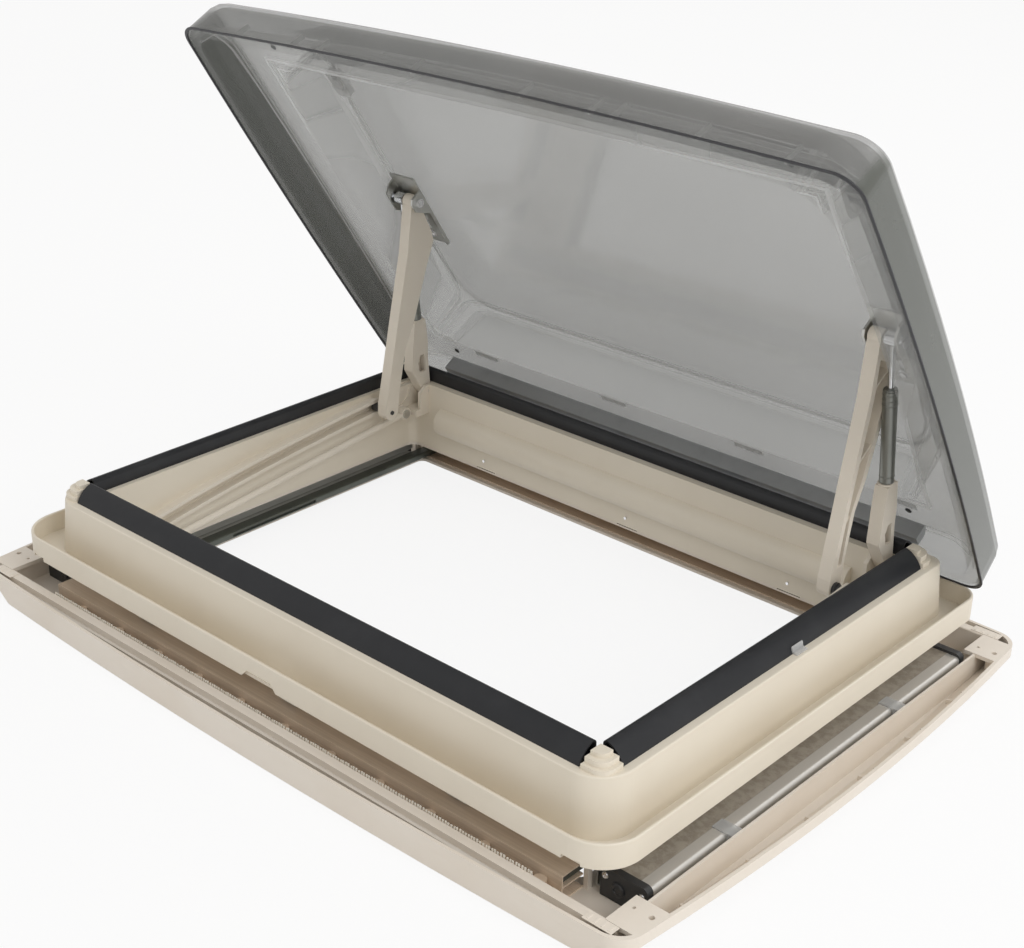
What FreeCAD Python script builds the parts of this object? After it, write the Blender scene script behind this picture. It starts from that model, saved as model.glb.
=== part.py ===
# Hinged roof light for a caravan or camper, drawn fully open.
# Frame: millimetres, +Z up, origin at the centre of the roof cut-out on the roof's outer skin.
# X runs along the hinge, the hinge is on the +Y side, the dome opens upwards at the -Y side.
import math
import os

import FreeCAD
import Part

V = FreeCAD.Vector
OUT = "parts"

# Roof and cut-out
CUT_X = 700.0
CUT_Y = 500.0
ROOF_T = 25.0
PLAY = 0.3

# Roof frame, the moulding that stands on the roof
WALL = 3.0
LIP_X = 778.0
LIP_Y = 564.0
LIP_H = 23.5
LEDGE_X = 722.0
LEDGE_Y = 508.0
LEDGE_Z = 58.0
DRAFT = 4.0
INNER_X = 653.0
INNER_Y = 444.0
SPIGOT_Z = -22.0
R_FRONT = 34.0
R_REAR = 14.0
DUCT_R = 17.0
DUCT_Z = 16.0
DUCT_GAP = 19.8

# Rubber seals on the ledge
SEAL_IN = 8.0
SEAL_W = 21.0
SEAL_CREST = 17.0
SEAL_H = 16.0
SEAL_WALL = 1.8
SEAL_FRONT_L = 656.0
SEAL_SIDE_L = 444.0

# Dome, all sizes in the closed pose
OPEN_DEG = 56.26
HINGE_Y = 266.0
HINGE_Z = 47.0
RIM_Z = 44.8
RIM_HX = 395.0
RIM_FRONT = -271.0
RIM_REAR = 289.0
BOW_SIDE = 7.0
BOW_FRONT = 9.0
SHELL_T = 3.0
PANE_T = 3.0
SEAL_GAP = 0.5
CROWN_H = 98.0
PANE_CROWN = 84.0
KNUCKLE_R = 6.5
HINGE_PIN_R = 2.5

# Lifting arms: head pin on the dome, foot in a slotted rail on the frame
ARM_X = 296.5
ARM_W = 14.0
HEAD_S = 238.3
HEAD_O = 71.8
FOOT_Y = 152.0
FOOT_Z = 46.0
FOOT_CLOSED_Z = 2.0
HEAD_PIN_R = 3.0
ROLLER_R = 5.0
SLOT_PLAY = 0.35
RAIL_T = 5.0
RAIL_EDGE = 9.5

# Gas springs behind the arms
SPRING_X = 311.5
SPRING_Y = 224.0
SPRING_Z = 50.0
SPRING_R = 7.0
ROD_R = 3.0
FORK_L = 88.0
CYL_END = 186.0
STUD_R = 3.0
POCKET_X = 299.8
POCKET_Y = 230.5
POCKET_Z = 30.0

# Operating bow
BOW_X = 309.0
BOW_R = 3.75
BOW_PIVOT_Y = 190.0
BOW_PIVOT_Z = 28.0
BOW_FRONT_Y = -208.0
BOW_FRONT_Z = -17.0
HOLDER_T = 12.0

# Ceiling frame
CEIL_TOP = -25.0
CEIL_BOTTOM = -55.0
CEIL_BOW_X = 16.0
CEIL_KNEE_Z = -36.0
CEIL_SLOPE_X = 24.0
CEIL_SLOPE_Y = 1.0
CEIL_BOW_Y = 10.0
CEIL_R = 24.0
CEIL_T = 3.0
OPEN_GAP_X = 3.5
OPEN_GAP_Y = 18.0
BAY_STEP = 12.0
BAY_W = 63.0
RIM_LAND_X = 19.0
TRACK_STEP = 6.0
TRACK_W = 26.0
TRACK_LEDGE = 14.0
RIM_LAND_Y = 18.0
OPEN_X = INNER_X / 2 + OPEN_GAP_X
OPEN_Y = INNER_Y / 2 + OPEN_GAP_Y
BAY_X = OPEN_X + BAY_STEP
TROUGH_X = BAY_X + BAY_W
CEIL_HX = TROUGH_X + RIM_LAND_X
TRACK_Y = OPEN_Y + TRACK_STEP
TRACK_BACK = TRACK_Y + TRACK_W
TRACK_OUT = TRACK_BACK + TRACK_LEDGE
CEIL_HY = TRACK_OUT + RIM_LAND_Y
PAD_HOLE_X = TROUGH_X - 3.0
PAD_HOLE_Y = TRACK_Y + 18.0
PAD_BIG_X = TROUGH_X + 14.0
SEAT_Z = -36.0
RIB_START_Y = -218.0
RIB_PITCH_Y = 81.0
RIB_L = 19.0
RIB_PITCH_X = 61.0

# Roller blinds in the ceiling frame
ROLLER_X = BAY_X + 28.0
ROLLER_Z = -38.5
TUBE_R = 6.0
ROLL_R = 9.5
BAR_X = OPEN_X - 2.0
BAR_W = 14.0
BAR_L = 2 * (TRACK_BACK - 4.0)
UPPER_Z = -33.0
LOWER_Z = -44.5
BAR_H = 7.6


def box(x0, x1, y0, y1, z0, z1):
    """A box between two corners."""
    return Part.makeBox(x1 - x0, y1 - y0, z1 - z0, V(x0, y0, z0))


def cyl(r, p, d, h):
    """A cylinder from point p along direction d."""
    return Part.makeCylinder(r, h, V(*p), V(*d))


def fuse(shapes):
    """One solid from touching pieces."""
    whole = shapes[0]
    if len(shapes) > 1:
        whole = whole.multiFuse(shapes[1:])
    return whole.removeSplitter()


def slab(hx, hy, z0, z1, radii=(0, 0), cy=0.0):
    """A plate with its own front and rear corner radii."""
    solid = box(-hx, hx, cy - hy, cy + hy, z0, z1)
    for radius, sign in ((radii[0], -1), (radii[1], 1)):
        if radius > 0:
            solid = solid.makeFillet(radius, upright(solid, cy, sign))
    return solid


def upright(solid, cy, sign):
    """The vertical corner edges on the front (-1) or rear (1) side."""
    found = []
    for edge in solid.Edges:
        a, b = edge.Vertexes[0].Point, edge.Vertexes[-1].Point
        if abs(a.x - b.x) < 1e-6 and abs(a.y - b.y) < 1e-6 and (a.y - cy) * sign > 1.0:
            found.append(edge)
    return found


def ring(hx, hy, t, z0, z1, radii=(0, 0), cy=0.0):
    """A rectangular wall of thickness t."""
    inner = [max(r - t, 0) for r in radii]
    return slab(hx, hy, z0, z1, radii, cy).cut(slab(hx - t, hy - t, z0 - 1, z1 + 1, inner, cy))


def arc(a, m, b):
    """An arc through three points."""
    return Part.Arc(a, m, b).toShape()


def span(a, b, bow, way):
    """A straight or bowed edge; way is the direction it bows to."""
    if bow == 0:
        return Part.makeLine(a, b)
    return arc(a, (a + b) * 0.5 + way * bow, b)


def outline(hx, y_front, y_rear, z, r_front, r_rear, bow_side, bow_front):
    """A closed plan with bowed sides and front and rounded corners."""
    k = 1.0 - math.sqrt(0.5)
    left_f = V(-hx, y_front + r_front, z)
    front_l = V(-hx + r_front, y_front, z)
    front_r = V(hx - r_front, y_front, z)
    right_f = V(hx, y_front + r_front, z)
    right_r = V(hx, y_rear - r_rear, z)
    rear_r = V(hx - r_rear, y_rear, z)
    rear_l = V(-hx + r_rear, y_rear, z)
    left_r = V(-hx, y_rear - r_rear, z)
    edges = [
        arc(left_f, V(-hx + k * r_front, y_front + k * r_front, z), front_l),
        span(front_l, front_r, bow_front, V(0, -1, 0)),
        arc(front_r, V(hx - k * r_front, y_front + k * r_front, z), right_f),
        span(right_f, right_r, bow_side, V(1, 0, 0)),
        arc(right_r, V(hx - k * r_rear, y_rear - k * r_rear, z), rear_r),
        Part.makeLine(rear_r, rear_l),
        arc(rear_l, V(-hx + k * r_rear, y_rear - k * r_rear, z), left_r),
        span(left_r, left_f, bow_side, V(-1, 0, 0)),
    ]
    return Part.Wire(edges)


def dome_section(inset, height):
    """The dome's plan at one inset from the rim and one height above it."""
    r_front = 26.0 + 0.35 * inset
    r_rear = 22.0 + 0.35 * inset
    return outline(RIM_HX - inset, RIM_FRONT + inset, RIM_REAR - inset, RIM_Z + height,
                   r_front, r_rear, BOW_SIDE, BOW_FRONT)


def dome_loft(profile):
    """A stack of plans that makes one solid."""
    return Part.makeLoft([dome_section(i, h) for i, h in profile], True, True)


def opened(shape):
    """Turn a dome piece from the closed pose to the pose of rest."""
    turned = shape.copy()
    turned.rotate(V(0, HINGE_Y, HINGE_Z), V(1, 0, 0), -OPEN_DEG)
    return turned


def mirrored(shape):
    """The same piece on the other side of the part."""
    return shape.mirror(V(0, 0, 0), V(1, 0, 0))


def plate_yz(points, x0, x1):
    """A plate in an upright plane, from (y, z) corners."""
    ring_points = [V(x0, y, z) for y, z in points]
    wire = Part.makePolygon(ring_points + [ring_points[0]])
    return Part.Face(wire).extrude(V(x1 - x0, 0, 0))


def save(name, *solids):
    """Write one node."""
    shape = solids[0] if len(solids) == 1 else Part.Compound(list(solids))
    shape.exportStep(os.path.join(OUT, name + ".step"))
    print(name, len(shape.Solids), round(shape.Volume / 1000.0, 1), "cm3")


# Motion helpers, in the (y, z) plane
def turn(point, degrees):
    """Turn a (y, z) pair about the origin."""
    a = math.radians(degrees)
    y, z = point
    return (y * math.cos(a) - z * math.sin(a), y * math.sin(a) + z * math.cos(a))


def on_dome(s, o, closing):
    """Where a dome point is after closing by some degrees from the open pose."""
    y, z = turn((-s, o), closing - OPEN_DEG)
    return (HINGE_Y + y, HINGE_Z + z)


HEAD_OPEN = on_dome(HEAD_S, HEAD_O, 0.0)
HEAD_CLOSED = on_dome(HEAD_S, HEAD_O, OPEN_DEG)
ARM_L = math.hypot(HEAD_OPEN[0] - FOOT_Y, HEAD_OPEN[1] - FOOT_Z)
ARM_A0 = math.degrees(math.atan2(FOOT_Z - HEAD_OPEN[1], FOOT_Y - HEAD_OPEN[0]))
DROP = HEAD_CLOSED[1] - FOOT_CLOSED_Z
FOOT_CLOSED_Y = HEAD_CLOSED[0] - math.sqrt(ARM_L ** 2 - DROP ** 2)
ARM_A1 = math.degrees(math.atan2(FOOT_CLOSED_Z - HEAD_CLOSED[1], FOOT_CLOSED_Y - HEAD_CLOSED[0]))
ARM_TURN = (ARM_A1 - ARM_A0) / OPEN_DEG
SPRING_V0 = (HEAD_OPEN[0] - SPRING_Y, HEAD_OPEN[1] - SPRING_Z)
SPRING_V1 = (HEAD_CLOSED[0] - SPRING_Y, HEAD_CLOSED[1] - SPRING_Z)
SPRING_L0 = math.hypot(*SPRING_V0)
SPRING_L1 = math.hypot(*SPRING_V1)
SPRING_A0 = math.degrees(math.atan2(SPRING_V0[1], SPRING_V0[0]))
SPRING_A1 = math.degrees(math.atan2(SPRING_V1[1], SPRING_V1[0]))


def foot_path(closing):
    """Centre of an arm's foot roller at one closing angle."""
    y, z = on_dome(HEAD_S, HEAD_O, closing)
    dy, dz = turn((ARM_L, 0.0), ARM_A0 + ARM_TURN * closing)
    return (y + dy, z + dz)


def eye_on_dome(closing):
    """Centre of a spring eye, seen from the closed dome."""
    share = closing / OPEN_DEG
    length = SPRING_L0 + (SPRING_L1 - SPRING_L0) * share
    dy, dz = turn((length, 0.0), SPRING_A0 + (SPRING_A1 - SPRING_A0) * share)
    rel = (SPRING_Y + dy - HINGE_Y, SPRING_Z + dz - HINGE_Z)
    y, z = turn(rel, OPEN_DEG - closing)
    return (HINGE_Y + y, HINGE_Z + z)


def swept_slot(path, r, x0, x1):
    """A round tool drawn along a path of (y, z) centres."""
    pieces = []
    for (ya, za), (yb, zb) in zip(path[:-1], path[1:]):
        length = math.hypot(yb - ya, zb - za)
        if length < 1e-6:
            continue
        ny, nz = -(zb - za) / length * r, (yb - ya) / length * r
        quad = [(ya + ny, za + nz), (yb + ny, zb + nz), (yb - ny, zb - nz), (ya - ny, za - nz)]
        pieces.append(plate_yz(quad, x0, x1))
    for y, z in path:
        pieces.append(cyl(r, (x0, y, z), (1, 0, 0), x1 - x0))
    return fuse(pieces)


# Roof frame
def roof_frame():
    """Gutter, lip, double-walled collar, shaft duct and ribs in one moulding."""
    radii = (R_FRONT, R_REAR)
    lip_radii = (R_FRONT + 6, R_REAR + 8)
    hx, hy = LEDGE_X / 2, LEDGE_Y / 2
    ix, iy = INNER_X / 2, INNER_Y / 2
    floor = slab(LIP_X / 2, LIP_Y / 2, 0, WALL, lip_radii)
    floor = floor.cut(slab(ix + WALL - 0.5, iy + WALL - 0.5, -1, WALL + 1, (10, 10)))
    lip = ring(LIP_X / 2, LIP_Y / 2, WALL, 0, LIP_H, lip_radii)
    top_edges = [e for e in lip.Edges if abs(e.BoundBox.ZMin - LIP_H) < 1e-6]
    lip = lip.makeFillet(1.2, top_edges)
    foot = outline(hx + DRAFT, -hy - DRAFT, hy + DRAFT, WALL - 0.5, R_FRONT, R_REAR, 0, 0)
    top = outline(hx, -hy, hy, LEDGE_Z, R_FRONT, R_REAR, 0, 0)
    outer = Part.makeLoft([foot, top], True, True)
    foot_in = outline(hx + DRAFT - WALL, -hy - DRAFT + WALL, hy + DRAFT - WALL, WALL - 1.5,
                      R_FRONT - WALL, R_REAR - WALL, 0, 0)
    top_in = outline(hx - WALL, -hy + WALL, hy - WALL, LEDGE_Z - WALL, R_FRONT - WALL, R_REAR - WALL, 0, 0)
    wall = outer.cut(Part.makeLoft([foot_in, top_in], True, True))
    wall = wall.cut(slab(ix, iy, -5, LEDGE_Z + 5, (10, 10)))
    rim = [e for e in wall.Edges if abs(e.BoundBox.ZMin - LEDGE_Z) < 1e-6 and e.BoundBox.ZLength < 1e-6
           and max(abs(e.BoundBox.XMax), abs(e.BoundBox.YMax), abs(e.BoundBox.YMin), abs(e.BoundBox.XMin)) > iy + 12]
    wall = wall.makeFillet(1.5, [e for e in rim if e.CenterOfMass.Length > 1 and outermost(e)])
    spigot = ring(ix + WALL, iy + WALL, WALL, SPIGOT_Z, LEDGE_Z, (10 + WALL, 10 + WALL))
    pieces = [floor, lip, wall, spigot]
    pieces += collar_ribs(ix + WALL, iy + WALL, hx - WALL, hy - WALL)
    pieces += hinge_seats(hy)
    body = fuse(pieces + corner_shells(ix, iy))
    for tool in corner_pockets(ix):
        body = body.cut(tool)
    duct_x = POCKET_X - DUCT_GAP
    duct = cyl(DUCT_R, (-duct_x, iy + 4, DUCT_Z), (1, 0, 0), 2 * duct_x)
    duct = duct.common(box(-400, 400, 0, iy + 1, -40, 60))
    hollow = cyl(DUCT_R - 2.4, (3 - duct_x, iy + 4, DUCT_Z), (1, 0, 0), 2 * duct_x - 6)
    body = body.fuse(duct).cut(hollow.common(box(-400, 400, 0, iy + 3.01, -40, 60)))
    body = body.cut(notches())
    for x, y in claw_places():
        body = body.cut(claw_hole(x, y))
    return body.removeSplitter()


def corner_shells(ix, iy):
    """Walls round the pockets for the spring feet in the rear corners."""
    shells = []
    corner = box(ix - 10, ix + WALL, iy - 10, POCKET_Y + WALL, POCKET_Z - WALL, LEDGE_Z)
    back = box(POCKET_X - WALL, ix + WALL, iy, POCKET_Y + WALL, POCKET_Z - WALL, LEDGE_Z)
    shell = corner.cut(slab(ix, iy, 0, LEDGE_Z + 5, (10, 10))).fuse(back)
    return [shell, mirrored(shell)]


def corner_pockets(ix):
    """The hollow of each pocket, open towards the shaft and upwards."""
    pocket = box(POCKET_X, ix, INNER_Y / 2 - 11, POCKET_Y, POCKET_Z, LEDGE_Z + 1)
    return [pocket, mirrored(pocket)]


def outermost(edge):
    """True for an edge on the ledge's outer outline."""
    c = edge.CenterOfMass
    return abs(c.x) > LEDGE_X / 2 - R_FRONT or abs(c.y) > LEDGE_Y / 2 - R_FRONT * 0.5


def collar_ribs(ix, iy, hx, hy):
    """Thin gussets between the two walls of the collar."""
    ribs = []
    for i in range(-3, 4):
        x = i * 92.0
        for sign in (-1, 1):
            y0, y1 = sorted((sign * iy, sign * hy))
            ribs.append(box(x - 1, x + 1, y0, y1, WALL - 0.5, LEDGE_Z - 1))
    for i in range(-2, 3):
        y = i * 88.0
        for sign in (-1, 1):
            x0, x1 = sorted((sign * ix, sign * hx))
            ribs.append(box(x0, x1, y - 1, y + 1, WALL - 0.5, LEDGE_Z - 1))
    return ribs


def knuckle_spans():
    """The X spans of the hinge: frame knuckles and dome knuckles side by side."""
    spans = []
    for centre in (-255.0, -85.0, 85.0, 255.0):
        spans.append((centre - 26.0, centre - PLAY, centre + PLAY, centre + 26.0))
    return spans


def hinge_seats(hy):
    """Frame knuckles with their arms on the collar's rear wall."""
    seats = []
    for x0, x1, _, _ in knuckle_spans():
        knuckle = cyl(KNUCKLE_R, (x0, HINGE_Y, HINGE_Z), (1, 0, 0), x1 - x0)
        arm = box(x0, x1, hy - 1.5, HINGE_Y, HINGE_Z - KNUCKLE_R, HINGE_Z + 2)
        top = HINGE_Z - KNUCKLE_R + 1
        gusset = plate_yz([(hy, top), (HINGE_Y - 1, top), (hy + 1, 16)], x0 + 8, x0 + 11)
        bore = cyl(HINGE_PIN_R + 0.05, (x0 - 1, HINGE_Y, HINGE_Z), (1, 0, 0), x1 - x0 + 2)
        seats.append(fuse([knuckle, arm, gusset]).cut(bore))
    return seats


def notches():
    """Drain notches in the lip's lower edge."""
    tools = []
    y0, y1 = -LIP_Y / 2 - 1, -LIP_Y / 2 + WALL + 1
    for x in (-12.0,):
        pts = [V(x - 24, y0, -1), V(x + 24, y0, -1), V(x + 17, y0, 8), V(x - 15, y0, 8)]
        tools.append(Part.Face(Part.makePolygon(pts + [pts[0]])).extrude(V(0, y1 - y0, 0)))
    for x in (-352.0, 352.0):
        tools.append(box(x - 9, x + 9, y0, y1, -1, 4))
    return fuse(tools)


def claw_places():
    """Where the clamps sit round the spigot."""
    places = []
    for x in (-210.0, 0.0, 210.0):
        places += [(x, -1), (x, 1)]
    return places


def claw_hole(x, side):
    """The screw hole of one clamp through the spigot wall."""
    y = side * (INNER_Y / 2 - 1)
    return cyl(1.7, (x, y, -12), (0, side, 0), WALL + 2)


def claw(x, side):
    """One metal clamp under the edge of the roof."""
    y0 = INNER_Y / 2 + WALL
    foot = box(x - 11, x + 11, y0, y0 + 34, CEIL_TOP - 1.2 + 2.2, CEIL_TOP + 3.0)
    leg = box(x - 11, x + 11, y0, y0 + 2, CEIL_TOP + 1.0, -5)
    lip = box(x - 11, x + 11, y0 + 32, y0 + 34, CEIL_TOP + 1.0, CEIL_TOP + 5.0)
    shape = fuse([foot, leg, lip]).cut(cyl(2.1, (x, y0 - 1, -12), (0, 1, 0), 5))
    return shape if side > 0 else shape.mirror(V(0, 0, 0), V(0, 1, 0))


def claw_screw(x, side):
    """One pan-head screw that holds a clamp."""
    y0 = INNER_Y / 2 + WALL + 2
    shank = cyl(1.65, (x, INNER_Y / 2 - 1.5, -12), (0, 1, 0), y0 - INNER_Y / 2 + 1.5)
    head = cyl(3.6, (x, y0, -12), (0, 1, 0), 2.2)
    slot = box(x - 3, x + 3, y0 + 1.4, y0 + 3, -12.4, -11.6)
    cross = box(x - 0.4, x + 0.4, y0 + 1.4, y0 + 3, -15, -9)
    shape = shank.fuse(head).cut(slot).cut(cross)
    return shape if side > 0 else shape.mirror(V(0, 0, 0), V(0, 1, 0))


# Seals
def seal_profile(scale_in=0.0):
    """Outline of the seal in (u, z): outer foot, crest and inner edge."""
    t = scale_in
    z0 = LEDGE_Z + t
    a = (0.0 + 2.2 * t, z0)
    crest = (SEAL_CREST - 0.3 * t, LEDGE_Z + SEAL_H - t)
    b = (SEAL_W - t, LEDGE_Z + SEAL_H - 4.0 - 0.3 * t)
    c = (SEAL_W - t, z0)
    m1 = (7.0 + 0.5 * t, LEDGE_Z + 10.2 - t)
    m2 = (SEAL_W - 1.2 - 0.7 * t, LEDGE_Z + SEAL_H - 1.3 - 0.8 * t)
    return a, m1, crest, m2, b, c


def seal(length, place):
    """A hollow seal of one length; place maps (u, v, z) to a point."""
    bodies = []
    for t in (0.0, SEAL_WALL):
        a, m1, crest, m2, b, c = [V(*place(u, -length / 2, z)) for u, z in seal_profile(t)]
        wire = Part.Wire([arc(a, m1, crest), arc(crest, m2, b), Part.makeLine(b, c), Part.makeLine(c, a)])
        end = V(*place(0, length / 2, 0)) - V(*place(0, -length / 2, 0))
        bodies.append(Part.Face(wire).extrude(end))
    return bodies[0].cut(bodies[1])


def front_place(u, v, z):
    return (v, -LEDGE_Y / 2 + SEAL_IN + u, z)


def rear_place(u, v, z):
    return (v, LEDGE_Y / 2 - 2.0 - u, z)


def right_place(u, v, z):
    return (LEDGE_X / 2 - SEAL_IN - u, v, z)


def corner_plug(sx, sy):
    """A stepped plug between two seals."""
    x1, y1 = LEDGE_X / 2 - SEAL_IN + 1, LEDGE_Y / 2 - SEAL_IN + 1
    steps = []
    levels = ((0.0, LEDGE_Z, LEDGE_Z + 4.5), (3.5, LEDGE_Z + 4, LEDGE_Z + 10), (8.5, LEDGE_Z + 9.5, LEDGE_Z + 14))
    for inset, z0, z1 in levels:
        step = box(x1 - 23.5 + inset * 0.3, x1 - inset, y1 - 23.5 + inset * 0.3, y1 - inset, z0, z1)
        near_x, near_y = x1 - inset - 0.01, y1 - inset - 0.01
        edges = [e for e in step.Edges if e.CenterOfMass.x > near_x and e.CenterOfMass.y > near_y]
        steps.append(step.makeFillet(13.0 - inset * 0.6, edges))
    plug = fuse(steps)
    if sx < 0:
        plug = plug.mirror(V(0, 0, 0), V(1, 0, 0))
    if sy < 0:
        plug = plug.mirror(V(0, 0, 0), V(0, 1, 0))
    return plug


# Dome
SHELL_OUT = [(0, 0), (1.6, 32), (3.4, 40), (6.5, 45), (11, 48), (26, 51.5), (42, 55.5), (47, 59.5),
             (60, 88), (64, 92.5), (71, 96), (92, CROWN_H), (150, CROWN_H + 2)]
SHELL_IN = [(3, -1), (4.6, 31.5), (6.2, 38), (8.8, 42.3), (12, 44.9), (26.8, 48.4), (43.5, 52.6),
            (49.5, 57.8), (62.6, 86.3), (66.2, 89.7), (72, 92.8), (92.5, CROWN_H - 3), (150, CROWN_H - 1)]
MARGIN_H = LEDGE_Z + SEAL_H + SEAL_GAP - RIM_Z
PANE_LOW = [(12, -1), (12.5, 2), (14, 16), (24, MARGIN_H - 2.5), (29, MARGIN_H), (65.5, MARGIN_H),
            (67, MARGIN_H + 1.5), (68.5, PANE_CROWN - 7), (71, PANE_CROWN - 2.5), (77, PANE_CROWN),
            (150, PANE_CROWN)]
PANE_TOP = [(3.3, 0), (3.5, 3), (9.3, 3.6), (11, 16), (21, MARGIN_H - 0.5), (27, MARGIN_H + PANE_T),
            (63.5, MARGIN_H + PANE_T), (64.3, MARGIN_H + 5), (65.5, PANE_CROWN - 6.4),
            (68.8, PANE_CROWN - 0.2), (76, PANE_CROWN + PANE_T), (150, PANE_CROWN + PANE_T)]


def dome_shell():
    """The smoked outer shell."""
    return dome_loft(SHELL_OUT).cut(dome_loft(SHELL_IN))


def dome_pane():
    """The inner pane with its flat seal margin, raised crown and bead."""
    pane = dome_loft(PANE_TOP).cut(dome_loft(PANE_LOW))
    bead_out = dome_loft([(70.5, PANE_CROWN - 6), (78, PANE_CROWN - 1.6), (81, PANE_CROWN + 0.5)])
    bead_in = dome_loft([(88, PANE_CROWN - 7), (84, PANE_CROWN - 1.6), (81.5, PANE_CROWN + 0.6)])
    bead = bead_out.cut(bead_in).common(dome_loft([(76.5, PANE_CROWN - 1.8), (76.5, PANE_CROWN + 1)]))
    return pane.fuse(bead).removeSplitter()


def rim_strip():
    """The dark weld strip round the rim, between shell and pane flange."""
    outer = dome_loft([(-0.6, -1.2), (-0.6, 0)])
    inner = dome_loft([(1.5, -2), (1.5, 1)])
    return outer.cut(inner)


def hinge_profile():
    """The metal hinge bar that the dome's knuckles are part of."""
    pieces = [box(-320, 320, HINGE_Y - 1.5, HINGE_Y + 1.5, HINGE_Z + KNUCKLE_R + 0.6, RIM_Z + 40),
              box(-320, 320, HINGE_Y - 9, HINGE_Y + 1.5, HINGE_Z + KNUCKLE_R + 0.6 + 3, RIM_Z + 40)]
    body = fuse(pieces).cut(dome_loft([(0, -5), (0, 0)] + PANE_TOP[1:]).cut(dome_loft(PANE_LOW)))
    keep = dome_loft(PANE_LOW)
    body = body.common(keep)
    solids = sorted(body.Solids, key=lambda s: s.BoundBox.ZMin)
    body = solids[0]
    for _, _, x0, x1 in knuckle_spans():
        knuckle = cyl(KNUCKLE_R, (x0, HINGE_Y, HINGE_Z), (1, 0, 0), x1 - x0)
        web = box(x0, x1, HINGE_Y - 1.5, HINGE_Y + 1.5, HINGE_Z, HINGE_Z + KNUCKLE_R + 1.5)
        body = body.fuse(knuckle).fuse(web)
    for _, _, x0, x1 in knuckle_spans():
        body = body.cut(cyl(HINGE_PIN_R + 0.05, (x0 - 1, HINGE_Y, HINGE_Z), (1, 0, 0), x1 - x0 + 2))
    return body.removeSplitter()


def dome_bracket(eye_x):
    """A slotted channel under the pane for the arm's head pin and the spring's stud."""
    z1 = RIM_Z + PANE_CROWN
    hy, hz = HINGE_Y - HEAD_S, HINGE_Z + HEAD_O
    base = box(ARM_X - 11, SPRING_X + 11, hy - 28, hy + 74, z1 - 2, z1)
    inner_points = [(hy - 10, z1), (hy - 10, hz - 5), (hy - 5, hz - 9), (hy + 6, hz - 9),
                    (hy + 22, z1 - 4), (hy + 74, z1 - 4), (hy + 74, z1)]
    inner = plate_yz(inner_points, ARM_X - 11, ARM_X - 8.6)
    outer_points = [(hy - 20, z1), (hy - 20, hz + 1), (hy - 13, hz - 9), (hy + 12, hz - 9),
                    (hy + 30, z1 - 4), (hy + 74, z1 - 4), (hy + 74, z1)]
    outer = plate_yz(outer_points, SPRING_X + 8.6, SPRING_X + 11)
    body = fuse([base, inner, outer])
    body = body.cut(cyl(HEAD_PIN_R + 0.02, (ARM_X - 14, hy, hz), (1, 0, 0), 8))
    track = [eye_on_dome(OPEN_DEG * i / 12.0) for i in range(13)]
    body = body.cut(swept_slot(track, STUD_R + SLOT_PLAY, SPRING_X + 6, SPRING_X + 14))
    for y in (hy + 36, hy + 62):
        body = body.cut(cyl(2.2, (eye_x, y, z1 - 4), (0, 0, 1), 6))
    body = body.cut(box(eye_x - 2.6, eye_x + 2.6, hy + 42, hy + 56, z1 - 4, z1 + 2))
    return body


def bracket_screws():
    """Screws with washers that hold a dome bracket to the pane."""
    found = []
    z1 = RIM_Z + PANE_CROWN
    hy = HINGE_Y - HEAD_S
    for y in (hy + 36, hy + 62):
        head = cyl(4.6, (304, y, z1 - 4.4), (0, 0, 1), 2.4)
        shank = cyl(2.15, (304, y, z1 - 3), (0, 0, 1), 3)
        found.append(head.fuse(shank).cut(cyl(1.4, (304, y, z1 - 5), (0, 0, 1), 1.8)))
    return found


def head_pin():
    """The pin through the arm's head."""
    hy, hz = HINGE_Y - HEAD_S, HINGE_Z + HEAD_O
    shank = cyl(HEAD_PIN_R, (ARM_X - 12.5, hy, hz), (1, 0, 0), 12.5 + ARM_W / 2 - 1)
    return shank.fuse(cyl(5.0, (ARM_X - 14, hy, hz), (1, 0, 0), 2.8))


def under_pane(shape, pane):
    """Seat a piece against the hollow side of the pane."""
    return max(shape.cut(pane).Solids, key=lambda solid: solid.Volume)


def latch_pad(x):
    """A clear moulded seat near a front corner of the pane."""
    y = HINGE_Y - 404.0
    z1 = RIM_Z + PANE_CROWN
    block = box(x - 11, x + 11, y - 17, y + 17, z1 - 7, z1)
    block = block.makeFillet(6.0, [e for e in block.Edges if e.BoundBox.ZLength > 6])
    dish = cyl(6.0, (x, y + 3, z1 - 8), (0, 0, 1), 4)
    return block.cut(dish).cut(box(x - 5, x + 5, y - 14, y - 8, z1 - 8, z1 - 4))


def rear_pad(x):
    """A ribbed pad on the rear seal margin."""
    z1 = RIM_Z + MARGIN_H
    y = RIM_REAR - 61.5
    base = box(x - 17, x + 17, y - 4, y + 4, z1 - 0.9, z1)
    grooves = [box(x - 14 + 7 * i, x - 11 + 7 * i, y - 3.2, y + 3.2, z1 - 1, z1 - 0.4) for i in range(5)]
    return base.cut(Part.Compound(grooves))


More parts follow.
